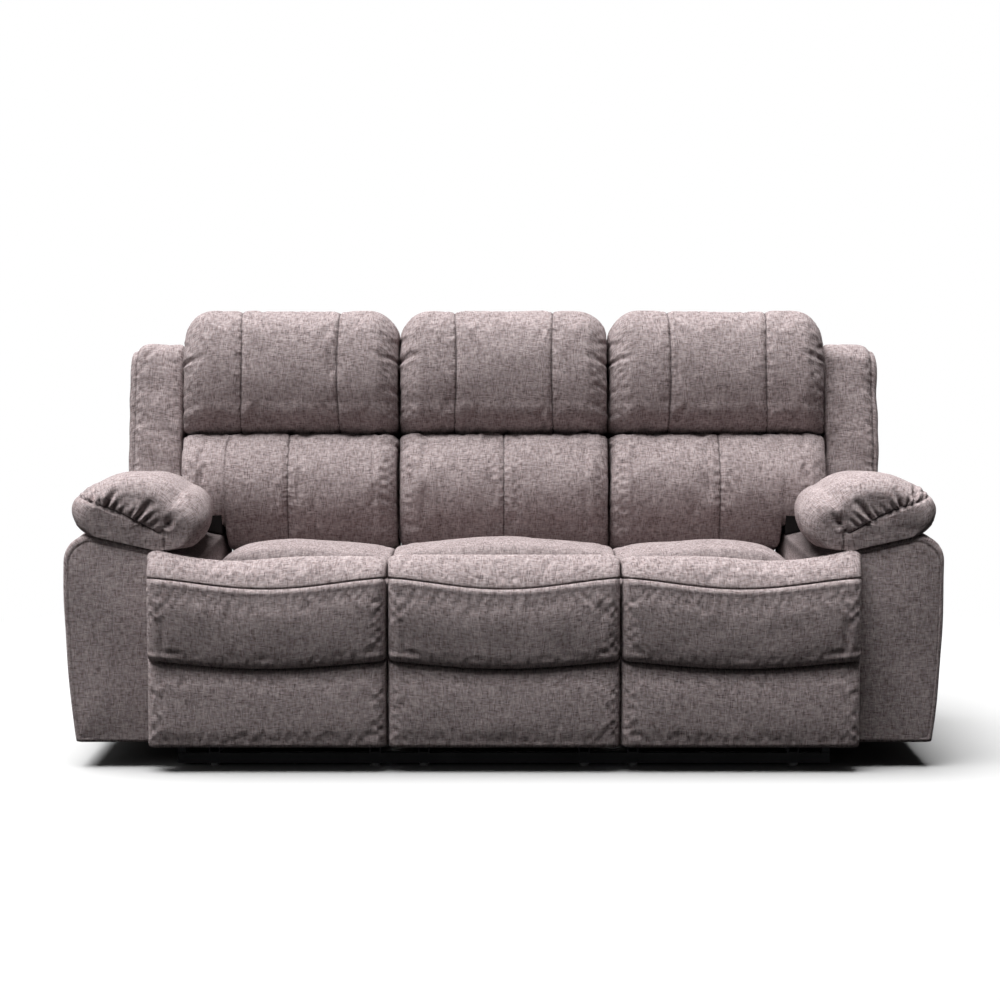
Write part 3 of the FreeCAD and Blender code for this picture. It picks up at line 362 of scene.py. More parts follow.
def swollen(rings, held, cap, pressure=4.0, coarse=11.0):
    """The cover blown up by its filling: a coarse copy of the rings is a cloth under pressure,
    pinned where `held` is 1, for twenty steps; its moves are capped and added to the full rings."""
    rows, count = rings.shape[:2]
    travel = np.r_[0.0, np.cumsum(np.linalg.norm(np.diff(rings.mean(axis=1), axis=0), axis=-1))]
    lines = np.unique(np.r_[0, np.searchsorted(travel, np.arange(0.0, travel[-1], coarse)),
        rows - 1])
    size = np.linalg.norm(np.roll(rings[rows // 2], -1, axis=0) - rings[rows // 2], axis=-1)
    round_it = np.r_[0.0, np.cumsum(size)]
    columns = np.unique(np.searchsorted(round_it[:-1], np.arange(0.0, round_it[-2], coarse)))
    columns = columns[columns < count]
    small = rings[np.ix_(lines, columns)]
    pad = placed("swelling", grid_mesh("swelling", small, turned_inside(small)))
    pins = np.r_[held[np.ix_(lines, columns)].ravel(), held[0].mean(), held[-1].mean()]
    group = pad.vertex_groups.new(name="held")
    for level in np.unique(np.round(pins, 1)):
        chosen = np.flatnonzero(np.round(pins, 1) == level)
        group.add(chosen.tolist(), float(level), "REPLACE")
    cloth = pad.modifiers.new("filling", "CLOTH")
    adjusted(cloth.settings, quality=6, mass=0.3, tension_stiffness=12.0,
        compression_stiffness=12.0, shear_stiffness=5.0, bending_stiffness=0.4, use_pressure=True,
        uniform_pressure_force=pressure, vertex_group_mass="held", shrink_min=-0.02)
    cloth.settings.effector_weights.gravity = 0.0
    cloth.point_cache.frame_start, cloth.point_cache.frame_end = 1, 20
    scene = bpy.context.scene
    for step in range(1, 21):
        scene.frame_set(step)
    found = pad.evaluated_get(bpy.context.evaluated_depsgraph_get()).to_mesh()
    blown = np.empty(len(found.vertices) * 3)
    found.vertices.foreach_get("co", blown)
    moves = blown.reshape(-1, 3)[:-2].reshape(small.shape) * 1000.0 - small
    bpy.data.objects.remove(pad, do_unlink=True)
    scene.frame_set(1)
    far = np.linalg.norm(moves, axis=-1, keepdims=True)
    moves *= np.where(far > 1e-6, cap * np.tanh(far / cap) / np.maximum(far, 1e-6), 1.0)
    moves = cubic(moves, lines, rows, False)
    moves = cubic(moves.transpose(1, 0, 2), columns, count, True).transpose(1, 0, 2)
    return rings + moves


def ripples(rings, seed, size, amount):
    """Soft unevenness of a stuffed cover: twelve waves through space of about one length."""
    rng = np.random.default_rng(seed)
    ways = rng.normal(size=(12, 3))
    ways /= np.linalg.norm(ways, axis=-1, keepdims=True)
    turns = 2 * np.pi / (size * rng.uniform(0.6, 1.5, 12))
    return amount * np.sin(rings @ ways.T * turns + rng.uniform(0, 6.3, 12)).sum(axis=-1) / 3.5


def seam_pull(distance, along, seed, depth, width, valley, reach):
    """How far a sewn line pulls the cover in: a narrow groove in a shallow valley, uneven along
    its length, with small puckers that fade to both sides."""
    rng = np.random.default_rng(seed)
    turns = 2 * np.pi / rng.uniform(11.0, 30.0, 5)
    uneven = np.sin(along[..., None] * turns + rng.uniform(0, 6.3, 5)).sum(axis=-1) / 3
    groove = depth * bell(distance, width)
    return -groove - bell(distance, reach) * valley * (1.0 + 0.45 * uneven)


def crease(p, q, start, end, width, depth):
    """A fold from start to end in two flat coordinates, deepest near its start, running out to
    its end, with a soft ridge at each side."""
    way = np.subtract(end, start)
    length = np.hypot(*way)
    way = way / length
    t = ((p - start[0]) * way[0] + (q - start[1]) * way[1]) / length
    side = (p - start[0]) * -way[1] + (q - start[1]) * way[0]
    over = np.maximum(np.maximum(-t, t - 1.0), 0.0) * length
    distance = np.hypot(side, over)
    fade = ramp(1.15 - t) ** 0.8 * (over < 4 * width)
    spread = width * (1.0 + 0.9 * ramp(t))
    fold = -bell(distance, spread) + 0.42 * bell(distance - 2.1 * spread, spread)
    return depth * fade * fold


def padded_piece(name, rings, caps, body, nodes, painted_shade, seed):
    """A sewn cover as one closed mesh with its weave map and its mask of painted shade."""
    flip = turned_inside(rings)
    mesh = grid_mesh(name, rings, flip)
    quads, fans = woven_map(rings, caps)
    if flip:
        quads, fans = quads[:, ::-1], fans[:, ::-1]
    weave = mesh.uv_layers.new(name="weave")
    offset = np.random.default_rng(seed + 77).uniform(0.0, 2.0, 2)
    weave.data.foreach_set("uv", (np.concatenate([quads.reshape(-1, 2), fans.reshape(-1, 2)])
        + offset).ravel())
    mask = np.zeros(rings.shape[:2]) if painted_shade is None else painted_shade
    lines = mesh.attributes.new("painted_shade", "FLOAT", "POINT")
    lines.data.foreach_set("value", np.r_[mask.ravel(), 0.0, 0.0])
    mesh.shade_smooth()
    mesh.materials.append(upholstery)
    piece = placed(name, mesh)
    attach(piece, body)
    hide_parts(*nodes)
    return piece


MIRROR = np.array([-1.0, 1.0, 1.0])
ARMS = (("right", 1.0), ("left", MIRROR))


def seat_pair(seat):
    """The seats that a form serves: itself, and the right seat as the left one's mirror image."""
    return [("left", 1.0), ("right", MIRROR)] if seat == "left" else [("middle", 1.0)]


def sewn_pair(seat, part, body, node, rings, caps, free, waves, painted_shade, number):
    """A form sewn for each of its seats, with soft unevenness of its own where it is free."""
    for side, flip in seat_pair(seat):
        seed = len(side) + number
        piece = moved(rings, ripples(rings, seed, *waves) * free) * flip
        padded_piece(f"{side}_{part}", piece, caps, f"{side}_{body}", [f"{side}_{node}"], painted_shade,
            seed)


def from_ends(x, span):
    """Distance from the nearer end of a piece."""
    return np.minimum(x - span[0], span[1] - x)


def share_of(x, span):
    """0 at the first end of a piece and 1 at the second."""
    return ramp((x - span[0]) / (span[1] - span[0]))


def inside(x, span, reach=45.0):
    """0 on both ends of a piece and 1 from `reach` inwards."""
    return ramp(from_ends(x, span) / reach)


def narrowed(x, span, frontness):
    """Draws both sides in where a padded front stands proud, so that neighbours part in front."""
    centre = 0.5 * (span[0] + span[1])
    return centre + (x - centre) * (1.0 - 0.013 * ramp(frontness))


def parting_height(x, span):
    """Height of the curved seam under the roll at the front: level ends and a drooping middle."""
    return 453.0 - 25.0 * np.sin(np.pi * share_of(x, span)) ** 1.5


def seat_deck(seat, spans):
    """Side profile of the crowned deck carried across the seat; it falls a little to both sides."""
    span = spans["narrow"]
    x = places(*span, 5.0)
    edge = from_ends(x, span)
    profile = outline((199.6, 396.5), [(199.6, 422.5), (100, 434.5), ((84, 462), (50, 486)),
        ((-110, 505), (-196, 497)), ((-232, 484), (-244, 450)), (-399, 440), (-399, 396.5)], 190,
        4.0, lambda y, z: (z > 440) & (y < 110))
    top = 498.0 if seat == "middle" else 491.0
    centre = 0.0 if seat == "middle" else -510.0
    crown = top - 19.0 * (np.abs(x - centre) / 240.0) ** 1.4 - drawn(edge, 16.0, 8.0)
    if seat == "left":
        crown = crown - 46.0 * np.exp(-((x - span[0]) / 42.0) ** 1.3)
    z = between(profile[:, 1], (396.5, 505.0), (396.5 + drawn(edge, 14.0, 6.0), crown))
    rings, caps = capped(x[:, None], profile[:, 0], z, 1.0)
    x, y, z = np.moveaxis(rings, -1, 0)
    free = ramp((z - 440.0) / 25.0) * ramp((95.0 - y) / 25.0) * inside(x, span)
    rings = swollen(rings, 1.0 - free, 4.0)
    # Painted shade: the whole deck is darkened a little, and more towards its front, where the
    # hollow before the roll lies in shade.
    shade = 0.22 + 0.5 * ramp((-185.0 - rings[..., 1]) / 60.0)
    sewn_pair(seat, "seat_deck", "seat", "seat_cushion", rings, caps, free, (120.0, 1.1), shade,
        0)


def seat_roll(seat, spans):
    """Side profile of the front roll carried across the seat: a sloping padded face from the crest
    down to the curved seam. The outer end of an outer seat stands higher beside the arm."""
    span = spans["front"]
    x = places(*span, 4.0)
    edge = from_ends(x, span)
    profile = outline((-400, 399.6), [((-432, 409.6), (-466.5, 426.5)),
        ((-445.5, 467.5), (-412, 497)), (-400, 499)], 150, 2.2, lambda y, z: y < -398)
    seam = parting_height(x, span)
    crest = 497.0 - drawn(edge, 30.0, 15.0)
    if seat == "left":
        crest = crest + 12.0 * bell(x - span[0], 60.0)
        crest = crest - 13.0 * bell(x + 620.0, 110.0) - 4.0 * share_of(x, span)
    z = between(profile[:, 1], (428.0, 499.0), (seam, crest))
    y = between(profile[:, 0], (-466.5, -400.0), (-466.5 + drawn(edge, 26.0, 20.0), -400.0))
    rings, caps = capped(narrowed(x[:, None], span, (-412.0 - y) / 20.0), y, z, 1.0)
    x, y, z = np.moveaxis(rings, -1, 0)
    above = z - parting_height(x, span)
    free = ramp((above - 6.0) / 16.0) * ramp((-404.0 - y) / 10.0) * inside(x, span)
    rings = swollen(rings, 1.0 - free, 5.0, coarse=9.0)
    # Painted shade: a thin dark line just above the parting seam on the front face.
    hem = bell(above - 4.0, 2.2) * (rings[..., 1] < -440) * 0.25
    sewn_pair(seat, "seat_roll", "seat", "seat_cushion", rings, caps, free, (80.0, 0.7), hem,
        10)


for seat_name, seat_spans in SEATS.items():
    seat_deck(seat_name, seat_spans)
    seat_roll(seat_name, seat_spans)


# Footrest pads: foam on the footrest board under a tight cover. The upper one bulges and its lip
# droops over the flat lower one; both ride out with the footrest.

BOARD_FACE = -412.3
PAD_GAP = 3.4


def lip_height(x, span):
    """Height of the lip over the lower pad: level ends and a drooping middle."""
    return 258.5 - 18.0 * np.sin(np.pi * share_of(x, span)) ** 1.2


def upper_pad(seat, spans):
    """Side profile carried across the board: top along the curved seam, belly, and the lip."""
    span = spans["front"]
    x = places(*span, 4.0)
    edge = from_ends(x, span)
    profile = outline((BOARD_FACE, 257.5), [(-452, 240.5), ((-464, 244.5), (-469.5, 262)),
        ((-475.0, 330), (-472, 406)), ((-470.5, 417), (-464, 421.8)),
        ((-437.6, 408.7), (BOARD_FACE, 399.7))], 190, 2.4, lambda y, z: y < -440)
    low = lip_height(x, span) + drawn(edge, 16.0, 6.0)
    high = parting_height(x, span) - PAD_GAP - drawn(edge, 20.0, 5.0)
    z = between(profile[:, 1], (240.5, 421.8), (low, high))
    y = between(profile[:, 0], (-473.0, BOARD_FACE), (-473.0 + drawn(edge, 26.0, 24.0), BOARD_FACE))
    rings, caps = capped(narrowed(x[:, None], span, (-422.0 - y) / 20.0), y, z, 1.0)
    x, y, z = np.moveaxis(rings, -1, 0)
    below = ramp((parting_height(x, span) - PAD_GAP - z - 6) / 60.0)
    above = ramp((z - lip_height(x, span) - 6) / 26.0)
    free = below * above * ramp((-440.0 - y) / 15.0) * inside(x, span)
    rings = swollen(rings, 1.0 - free, 2.5, 3.0)
    sewn_pair(seat, "upper_pad", "footrest", "footrest_upper_pad", rings, caps, free, (110.0, 0.6),
        None, 20)


def lower_pad(seat, spans):
    """Side profile carried across the board: a flat face under the lip and a turned bottom edge."""
    span = spans["front"]
    x = places(*span, 5.0)
    edge = from_ends(x, span)
    profile = outline((BOARD_FACE, 255), [(BOARD_FACE, 59), (-452, 59), ((-459, 62), (-461.5, 70)),
        ((-465, 149), (-459, 222)), ((-454, 234), (-444, 238))], 160, 2.6, lambda y, z: y < -440)
    lip = 255.0 - 17.0 * np.sin(np.pi * share_of(x, span)) ** 1.2
    z = between(profile[:, 1], (59.0, 238.0), (59.0 + drawn(edge, 12.0, 3.0), lip))
    y = between(profile[:, 0], (-463.0, BOARD_FACE), (-463.0 + drawn(edge, 24.0, 20.0), BOARD_FACE))
    rings, caps = capped(narrowed(x[:, None], span, (-422.0 - y) / 20.0), y, z, 1.0)
    x, y, z = np.moveaxis(rings, -1, 0)
    free = ramp((z - 66) / 30.0) * ramp((225.0 - z) / 25.0)
    free = free * ramp((-440.0 - y) / 15.0) * inside(x, span)
    rings = swollen(rings, 1.0 - free, 2.5, 3.0)
    sewn_pair(seat, "lower_pad", "footrest", "footrest_lower_pad", rings, caps, free, (120.0, 0.6),
        None, 30)


for seat_name, seat_spans in SEATS.items():
    upper_pad(seat_name, seat_spans)
    lower_pad(seat_name, seat_spans)


# Back pillows: blown fibre in sewn covers on the front of the back frame. The lumbar pillow has an
# upright seam in its middle; the head pillow has two and folds over the top of the frame.

HINGE_Y, HINGE_Z = 248.6, 305.0
TILT = math.radians(14.0)


def lean_back(flat):
    """Places given as across, depth and height on the back, turned to the rear at the hinge."""
    across, depth, height = np.moveaxis(flat, -1, 0)
    y = HINGE_Y + height * math.sin(TILT) + depth * math.cos(TILT)
    z = HINGE_Z + height * math.cos(TILT) - depth * math.sin(TILT)
    return np.stack([across, y, z], axis=-1)


def lumbar_pillow(seat, spans):
    """Side profile carried across the back, full in the upper half and turned under below; on the
    outer seats its low part ends at the arm and an ear goes on above it."""
    wide, narrow = spans["wide"], spans["narrow"]
    centre = 0.5 * (wide[0] + wide[1])
    x = places(*wide, 4.0, (centre, narrow[0] - 2.0))
    profile = outline((4.0, 120), [(4.0, 408), (-116, 409), ((-148, 402), (-168, 380)),
        ((-203, 276), (-166, 172)), ((-144, 138), (-104, 120))], 200, 4.0, lambda l, u: l < -100)
    edge = from_ends(x, wide)
    top = 408.0 - drawn(edge, 36.0, 12.0)
    height = between(profile[:, 1], (120.0, 408.0), (120.0 + drawn(edge, 40.0, 12.0), top))
    if wide[0] < narrow[0]:
        rise = ramp((narrow[0] + 10 - x) / 15.0)[:, None]
        lobe = ramp((-70.0 - profile[:, 0]) / 50.0) * ramp((x[:, None] + 795.0) / 40.0)
        floor = 100.0 + (152.0 - 82.0 * lobe) * rise * rise * (3 - 2 * rise)
        over = height - floor
        height = floor + 0.5 * (over + np.sqrt(over ** 2 + 14.0 ** 2))
    depth = between(profile[:, 0], (-196.0, 4.0), (-196.0 + drawn(edge, 50.0, 46.0), 4.0))
    flat, caps = capped(narrowed(x[:, None], wide, (-70.0 - depth) / 60.0), depth, height, 0.4)
    middle = np.abs(flat[..., 0] - centre)
    face = ramp((-60.0 - flat[..., 1]) / 30.0)
    free = face * (1 - bell(middle, 9.0)) * ramp((flat[..., 2] - 128.0) / 20.0)
    free = free * inside(flat[..., 0], wide, 60.0)
    flat = swollen(flat, 1.0 - free, 5.0, 3.0)
    for side, flip in seat_pair(seat):
        seed = len(side) + 40
        along = flat[..., 2] - flat[..., 1]
        moves = ripples(flat, seed, 95.0, 1.1) * face
        moves += face * seam_pull(middle, along, seed, 2.6, 2.6, 1.8, 16.0)
        rng = np.random.default_rng(seed)
        for count in range(15):
            spot = wide[0] + (wide[1] - wide[0]) * (count + rng.uniform(0.2, 0.8)) / 15
            low = 399.0 + rng.uniform(-2, 3)
            moves += face * crease(flat[..., 0], flat[..., 2], (spot, low + 8),
                (spot + rng.uniform(-10, 10), low - rng.uniform(12, 34)), rng.uniform(3.0, 5.0),
                rng.uniform(0.5, 1.6))
        for sign, edge_x in ((1, wide[0]), (-1, wide[1])):
            for high in (165, 225, 300, 365):
                spot = high + rng.uniform(-9, 9)
                moves += face * crease(flat[..., 0], flat[..., 2], (edge_x + sign * 3, spot),
                    (edge_x + sign * rng.uniform(35, 80), spot + rng.uniform(-12, 14)),
                    rng.uniform(4.5, 6.5), rng.uniform(0.6, 1.8))
        piece = lean_back(moved(flat, moves)) * flip
        # Painted shade along the upright middle seam.
        padded_piece(f"{side}_lumbar", piece, caps, f"{side}_back", [f"{side}_lumbar_pillow"],
            bell(middle, 1.6) * face * 0.9, seed)


def head_pillow(seat, spans):
    """Side profile carried across the back with round upper corners; the face is full, turns under
    at the bottom and rolls over the top to the rear of the frame."""
    wide = spans["wide"]
    centre = 0.5 * (wide[0] + wide[1])
    x = places(*wide, 4.0, (centre - 123.0, centre - 116.0, centre + 116.0, centre + 123.0))
    profile = outline((-104, 413), [((-156, 428), (-185, 480)), ((-203, 572), (-194, 655)),
        ((-166, 708), (-112, 727)), ((-20, 728), (30, 722)), ((46, 716), (52, 703)), (52, 690.3),
        (4.4, 690.3), (4.4, 413)], 250, 4.0, lambda l, u: (l < -100) | (u > 650))
    edge = from_ends(x, wide)
    top = 727.0 - drawn(edge, 78.0, 62.0)
    low = 413.0 + drawn(edge, 45.0, 12.0)
    height = between(profile[:, 1], (413.0, 727.0), (low, top))
    front = -199.0 + drawn(edge, 60.0, 60.0)
    depth = between(profile[:, 0], (-199.0, 52.0), (front, 52.0 - drawn(edge, 20.0, 6.0)))
    flat, caps = capped(narrowed(x[:, None], wide, (-70.0 - depth) / 60.0), depth, height, 0.4)
    bow = 6.0 * np.cos((flat[..., 2] - 570.0) / 170.0 * np.pi / 2)
    seams = np.abs(np.abs(flat[..., 0] - centre) - 126.0 + bow)
    face = ramp(ramp((-30.0 - flat[..., 1]) / 30.0) + ramp((flat[..., 2] - 700.0) / 12.0))
    free = ramp((-40.0 - flat[..., 1]) / 40.0) * (1 - bell(seams, 9.0))
    free = free * inside(flat[..., 0], wide, 60.0)
    flat = swollen(flat, 1.0 - free, 4.5, 3.0)
    for side, flip in seat_pair(seat):
        seed = len(side) + 50
        along = flat[..., 2] - flat[..., 1]
        moves = ripples(flat, seed, 105.0, 1.0) * face
        moves += face * seam_pull(seams, along, seed, 2.6, 2.6, 1.4, 16.0)
        rng = np.random.default_rng(seed)
        for sign, edge_x in ((1, wide[0]), (-1, wide[1])):
            folds = ((585, 58, 14, 5.0), (512, 34, 8, 2.0), (458, 30, 4, 2.2), (640, 30, -14, 2.6),
                (430, 44, 2, 1.8))
            for high, long, rise, deep in folds:
                spot = high + rng.uniform(-10, 10)
                moves += face * crease(flat[..., 0], flat[..., 2], (edge_x + sign * 2, spot),
                    (edge_x + sign * (long + rng.uniform(-6, 10)), spot + rise),
                    rng.uniform(4.0, 5.5), deep * rng.uniform(0.7, 1.1))
        piece = lean_back(moved(flat, moves)) * flip
        # Painted shade along the two upright seams.
        padded_piece(f"{side}_head", piece, caps, f"{side}_back", [f"{side}_head_pillow"],
            bell(seams, 1.6) * face * 0.9, seed)


for seat_name, seat_spans in SEATS.items():
    lumbar_pillow(seat_name, seat_spans)
    head_pillow(seat_name, seat_spans)


# Rear panels: thin foam and the same cloth pulled over the rear of each back frame, and one fixed
# panel low down between the arms, which hides the mechanism from behind.

def rear_skin(seat, spans):
    """A slab carried across the back frame, with round upper corners; on the outer seats its low
    part is narrower and ends at the arm."""
    wide, narrow = spans["wide"], spans["narrow"]
    x = places(*wide, 7.0)
    profile = outline((37.3, -60), [(52.0, -60), ((55.5, 300), (52.0, 689)), (37.3, 689)], 150, 2.5,
        lambda l, u: l > 40)
    edge = from_ends(x, wide)
    foot = np.full(x.shape, -60.0)
    if wide[0] < narrow[0]:
        rise = ramp((narrow[0] + 7 - x) / 14.0)
        foot = foot + 328.0 * rise * rise * (3 - 2 * rise)
    height = between(profile[:, 1], (-60.0, 689.0), (foot, 689.0 - drawn(edge, 75.0, 72.0)))
    depth = between(profile[:, 0], (37.3, 54.0), (37.3, 54.0 - drawn(edge, 9.0, 7.0)))
    flat, caps = capped(x[:, None], depth, height, 0.5)
    face = ramp((flat[..., 1] - 44.0) / 6.0)
    seam = np.abs(flat[..., 2] - 268.0)
    for side, flip in seat_pair(seat):
        seed = len(side) + 60
        moves = face * (ripples(flat, seed, 140.0, 1.0) + seam_pull(seam, flat[..., 0], seed, 1.6,
            3.0, 1.2, 10.0))
        piece = lean_back(moved(flat, moves)) * flip
        # Painted shade along the cross seam.
        padded_piece(f"{side}_rear_skin", piece, caps, f"{side}_back", [f"{side}_back_panel"],
            bell(seam, 2.0) * face * 0.8, seed)


def side_boxing(seat, spans):
    """Thin cloth-covered strips carried up both edges of the back frame, between its front pillows
    and its rear skin."""
    wide = spans["wide"]
    for edge_x, way, part in ((wide[0], 1.0, "outer"), (wide[1], -1.0, "inner")):
        u = places(272.0, 622.0, 12.0)
        turn = np.linspace(0.0, 2 * np.pi, 40, endpoint=False)
        x = edge_x + way * (2.6 + 2.0 * np.cos(turn))
        depth = 20.7 + 15.8 * np.sign(np.sin(turn)) * np.abs(np.sin(turn)) ** 0.35
        strip, caps = capped(x, depth, u[:, None], 0.2)
        strip = lean_back(strip)
        for side, flip in seat_pair(seat):
            padded_piece(f"{side}_{part}_boxing", strip * flip, caps, f"{side}_back",
                [f"{side}_back_panel"], None, 63)


for seat_name, seat_spans in SEATS.items():
    rear_skin(seat_name, seat_spans)
    side_boxing(seat_name, seat_spans)


def low_rear_panel():
    """An upright slab carried across between the arms."""
    x = places(-704.5, 704.5, 9.0)
    profile = outline((333.2, 59), [(345, 59), ((346.5, 160), (345, 255)), (333.2, 255)], 90, 1.5,
        lambda y, z: y > 338)
    rings, caps = capped(x[:, None], profile[:, 0], profile[:, 1], 0.0)
    face = ramp((rings[..., 1] - 340.0) / 3.0)
    hem = np.abs(rings[..., 2] - 72.0)
    moves = face * (ripples(rings, 9, 130.0, 0.7) + seam_pull(hem, rings[..., 0], 9, 1.2, 2.5, 0.6,
        8.0))
    # Painted shade along the hem line.
    padded_piece("low_rear_panel", moved(rings, moves), caps, "root", ["rear_panel"],
        bell(hem, 1.8) * face * 0.7, 9)


low_rear_panel()


# Arms: foam and cloth over a boarded box. The front panel is sewn to the side with a seam just
# inside the edge, and a pocket in the outer side holds the cup of the release handle.

def arm_top(x):
    return 545.0 - (975.0 - x) * math.tan(math.radians(12.6))


def arm_cover():
    """Cross section carried from front to rear: straight inside, sloping top, round shoulder and
    a belly that draws in to the floor; the front and the rear are rounded and slightly full."""
    top = arm_top(950.0)
    profile = outline((705, 59), [(987, 59), ((1004.5, 246), (1010, arm_top(1010) - 120)),
        (1010, top - 60), ((950 + 42.4, top - 60 + 42.4), (950, top)), (705, arm_top(705))], 330,
        3.5, lambda x, z: z > 62)
    front, rear = -397.0, 345.0
    y = np.unique(np.r_[places(front, rear, 6.0, (), 1.2, 9.0), -346.5, -345.5, -234.5, -233.5])
    inward = drawn(y - front, 12.0, 9.0) + drawn(rear - y, 14.0, 12.0)
    centre, half = (857.0, 275.0), (153.0, 240.0)
    x = centre[0] + (profile[:, 0] - centre[0]) * (1 - inward / half[0])[:, None]
    z = centre[1] + (profile[:, 1] - centre[1]) * (1 - inward / half[1])[:, None]
    steps = (0.06, 0.14, 0.24, 0.34, 0.44, 0.53, 0.62, 0.7, 0.77, 0.83, 0.88, 0.915, 0.94, 0.955,
        0.967, 0.977, 0.986, 0.994)
    ring = np.r_[np.array(steps), np.ones(len(y)), np.array(steps)[::-1]][:, None]
    rings, caps = capped(x, y[:, None], z, 12.0, steps)
    x, y, z = np.moveaxis(rings, -1, 0)
    inset = (1 - ring) * 170.0
    welt = np.where((ring < 1) & (y < 0), np.abs(inset - 3.6), 99.0)
    welt = welt + 99.0 * ramp((110.0 - z) / 30.0) * (x < 960)
    cup_y, cup_z = y + 290.0, z - 360.0
    pocket = (np.abs(cup_y) < 56.8) & (np.abs(cup_z) < 31.9) & (x > 950)
    calm = ramp((np.hypot(cup_y / 70, cup_z / 45) - 1) / 0.4)
    # Painted shade: the inner top edge beside the seat is darkened where the crevice lies in shade,
    # and a lighter painted shade follows the welt seam.
    shade = ramp((775.0 - x) / 40.0) * ramp((z - 440.0) / 30.0) * ramp((y + 385.0) / 30.0) * 0.8
    for seed, (name, flip) in enumerate(ARMS, 71):
        moves = ripples(rings, seed, 170.0, 1.0) * calm * ramp((x - 712) / 20) * ramp((z - 62) / 30)
        moves += seam_pull(welt, z + x, seed, 1.3, 1.6, 0.3, 6.0)
        piece = moved(rings, moves)
        piece[pocket, 0] = 964.0
        padded_piece(f"{name}_arm_skin", piece * flip, caps, "root", [f"{name}_arm_cover"],
            np.maximum(bell(welt, 1.4) * 0.35, shade), seed)


arm_cover()


# Gussets: a low block on each arm closes the opening behind the arm pillow, between the wing
# and the back. Its black lining cloth is painted shade: the dark block stands for the shade in
# that opening.

def arm_gusset():
    """A soft block carried across, flat below along the sloping arm top."""
    x = places(706.5, 820.0, 8.0)
    profile = outline((118, 470), [(118, 538), ((140, 552), (176, 552)), (196, 540), (196, 470)],
        90, 4.0, lambda y, z: y < 170)
    z = between(profile[:, 1], (470.0, 552.0), (arm_top(x) + 0.4, 551.0))
    rings, caps = capped(x[:, None], profile[:, 0], z, 0.3)
    for name, flip in ARMS:
        block = padded_piece(f"{name}_arm_gusset", rings * flip, caps, "root",
            [f"{name}_arm_cover"], None, 61)
        # Painted shade: the black cloth stands for the shade in the opening.
        block.data.materials[0] = shade_lining


arm_gusset()


# Arm pillows: a stuffed pad tied down on the sloping top of each arm. Its top panel is gathered
# into pleats along a curved seam over the front facing, and a dart ends the seam inside.

def arm_pillow():
    """Cross section carried from front to rear: flat sloping bottom, round sides and a high outer
    crown; the nose and the rear end are quarter ellipses."""
    def rest(x):
        return arm_top(x) + 0.3

    profile = outline((772, rest(772)), [(966, rest(966)), ((993, 604), (948, 645)),
        ((862, 672), (742, 632)), ((684, 568), (714, 512))], 300, 5.0, lambda x, z: z > rest(x) + 6)
    front, rear = -402.0, 98.6
    y = np.unique(np.r_[places(front, rear, 6.0, (), 1.3, 12.0), np.arange(front + 4, front + 90,
        2.6)])
    inward = drawn(y - front, 60.0, 40.0) + drawn(rear - y, 80.0, 44.0)
    centre, half = 837.0, 155.0
    x = centre + (profile[:, 0] - centre) * (1 - inward / half)[:, None]
    rearward = ramp((y + 250.0) / 320.0)[:, None]
    x = x + 34.0 * rearward * ramp((860.0 - x) / 150.0)
    height = (profile[:, 1] - rest(profile[:, 0])) * (1 - inward * 0.86 / 125.0)[:, None]
    height = height * (1 - 0.17 * rearward)
    rings, caps = capped(x, y[:, None], rest(x) + height, 10.0, tuple(np.linspace(0.03, 0.985, 24)))
    across, y, z = np.moveaxis(rings, -1, 0)
    nose = ramp((-322.0 - y) / 26.0)
    drop = arm_top(across)
    line = 548.0 + (across - 795.0) * 0.455 + 6.0 * np.sin((across - 795.0) / 164.0 * np.pi)
    hook = ramp((792.0 - across) / 22.0)
    line = line + 34.0 * hook ** 1.6
    seam = np.abs(z - line) * 0.9
    ended = ramp((765.0 - across) / 6.0) * 40.0
    seam = np.hypot(seam, ended) + (1 - nose) * 60.0
    upright = np.hypot(across - 776.0, np.maximum(z - 546.0, 0)) + (1 - nose) * 60.0
    free = ramp((z - drop - 8.0) / 22.0) * (1 - 0.9 * bell(seam, 7.0))
    rings = swollen(rings, 1.0 - free, 4.0, 3.0, coarse=9.0)
    z = rings[..., 2]
    folds = ((962, 622, 968, 642, 3.2, 6.0), (950, 618, 958, 642, 3.2, 6.0),
        (937, 614, 945, 652, 3.6, 11.0), (922, 610, 926, 632, 3.0, 7.0),
        (906, 604, 888, 646, 3.8, 12.0), (890, 598, 880, 618, 3.0, 5.0),
        (872, 592, 860, 612, 3.0, 3.5), (852, 583, 830, 610, 3.2, 4.0),
        (838, 577, 806, 616, 4.2, 11.5), (822, 570, 800, 592, 3.2, 4.0),
        (806, 560, 786, 580, 3.2, 3.5))
    for seed, (name, flip) in enumerate(ARMS, 81):
        rng = np.random.default_rng(seed)
        moves = ripples(rings, seed, 90.0, 1.1) * ramp((z - drop - 6.0) / 16.0)
        moves += seam_pull(seam, across, seed, 3.4, 2.6, 1.8, 9.0)
        moves += seam_pull(upright, z, seed, 2.6, 2.6, 1.6, 9.0)
        above = ramp((z - line) / 3.0) * nose
        for x0, z0, x1, z1, wide, deep in folds:
            shift = rng.uniform(-2.0, 2.0, 3)
            moves += above * crease(across, z, (x0 + shift[0], z0 + 2),
                (x1 + shift[1], z1 + shift[2]), wide, deep)
        dart = np.hypot(across - 768.0, z - 571.0) + (1 - nose) * 60.0
        moves -= 6.0 * bell(dart, 9.0)
        moves += nose * crease(across, z, (766, 560), (752, 596), 5.0, 3.6)
        # Painted shade along the curved seam and the upright seam.
        mask = np.maximum(bell(seam, 1.5), 0.7 * bell(upright, 1.5))
        padded_piece(f"{name}_arm_pillow", moved(rings, moves) * flip, caps, "root",
            [f"{name}_arm_pad"], mask * 0.85, seed)


arm_pillow()


# Wings: padded boards that stand on the arms beside the backs. The front and the side are sewn
# together along a seam just inside the outer edge.

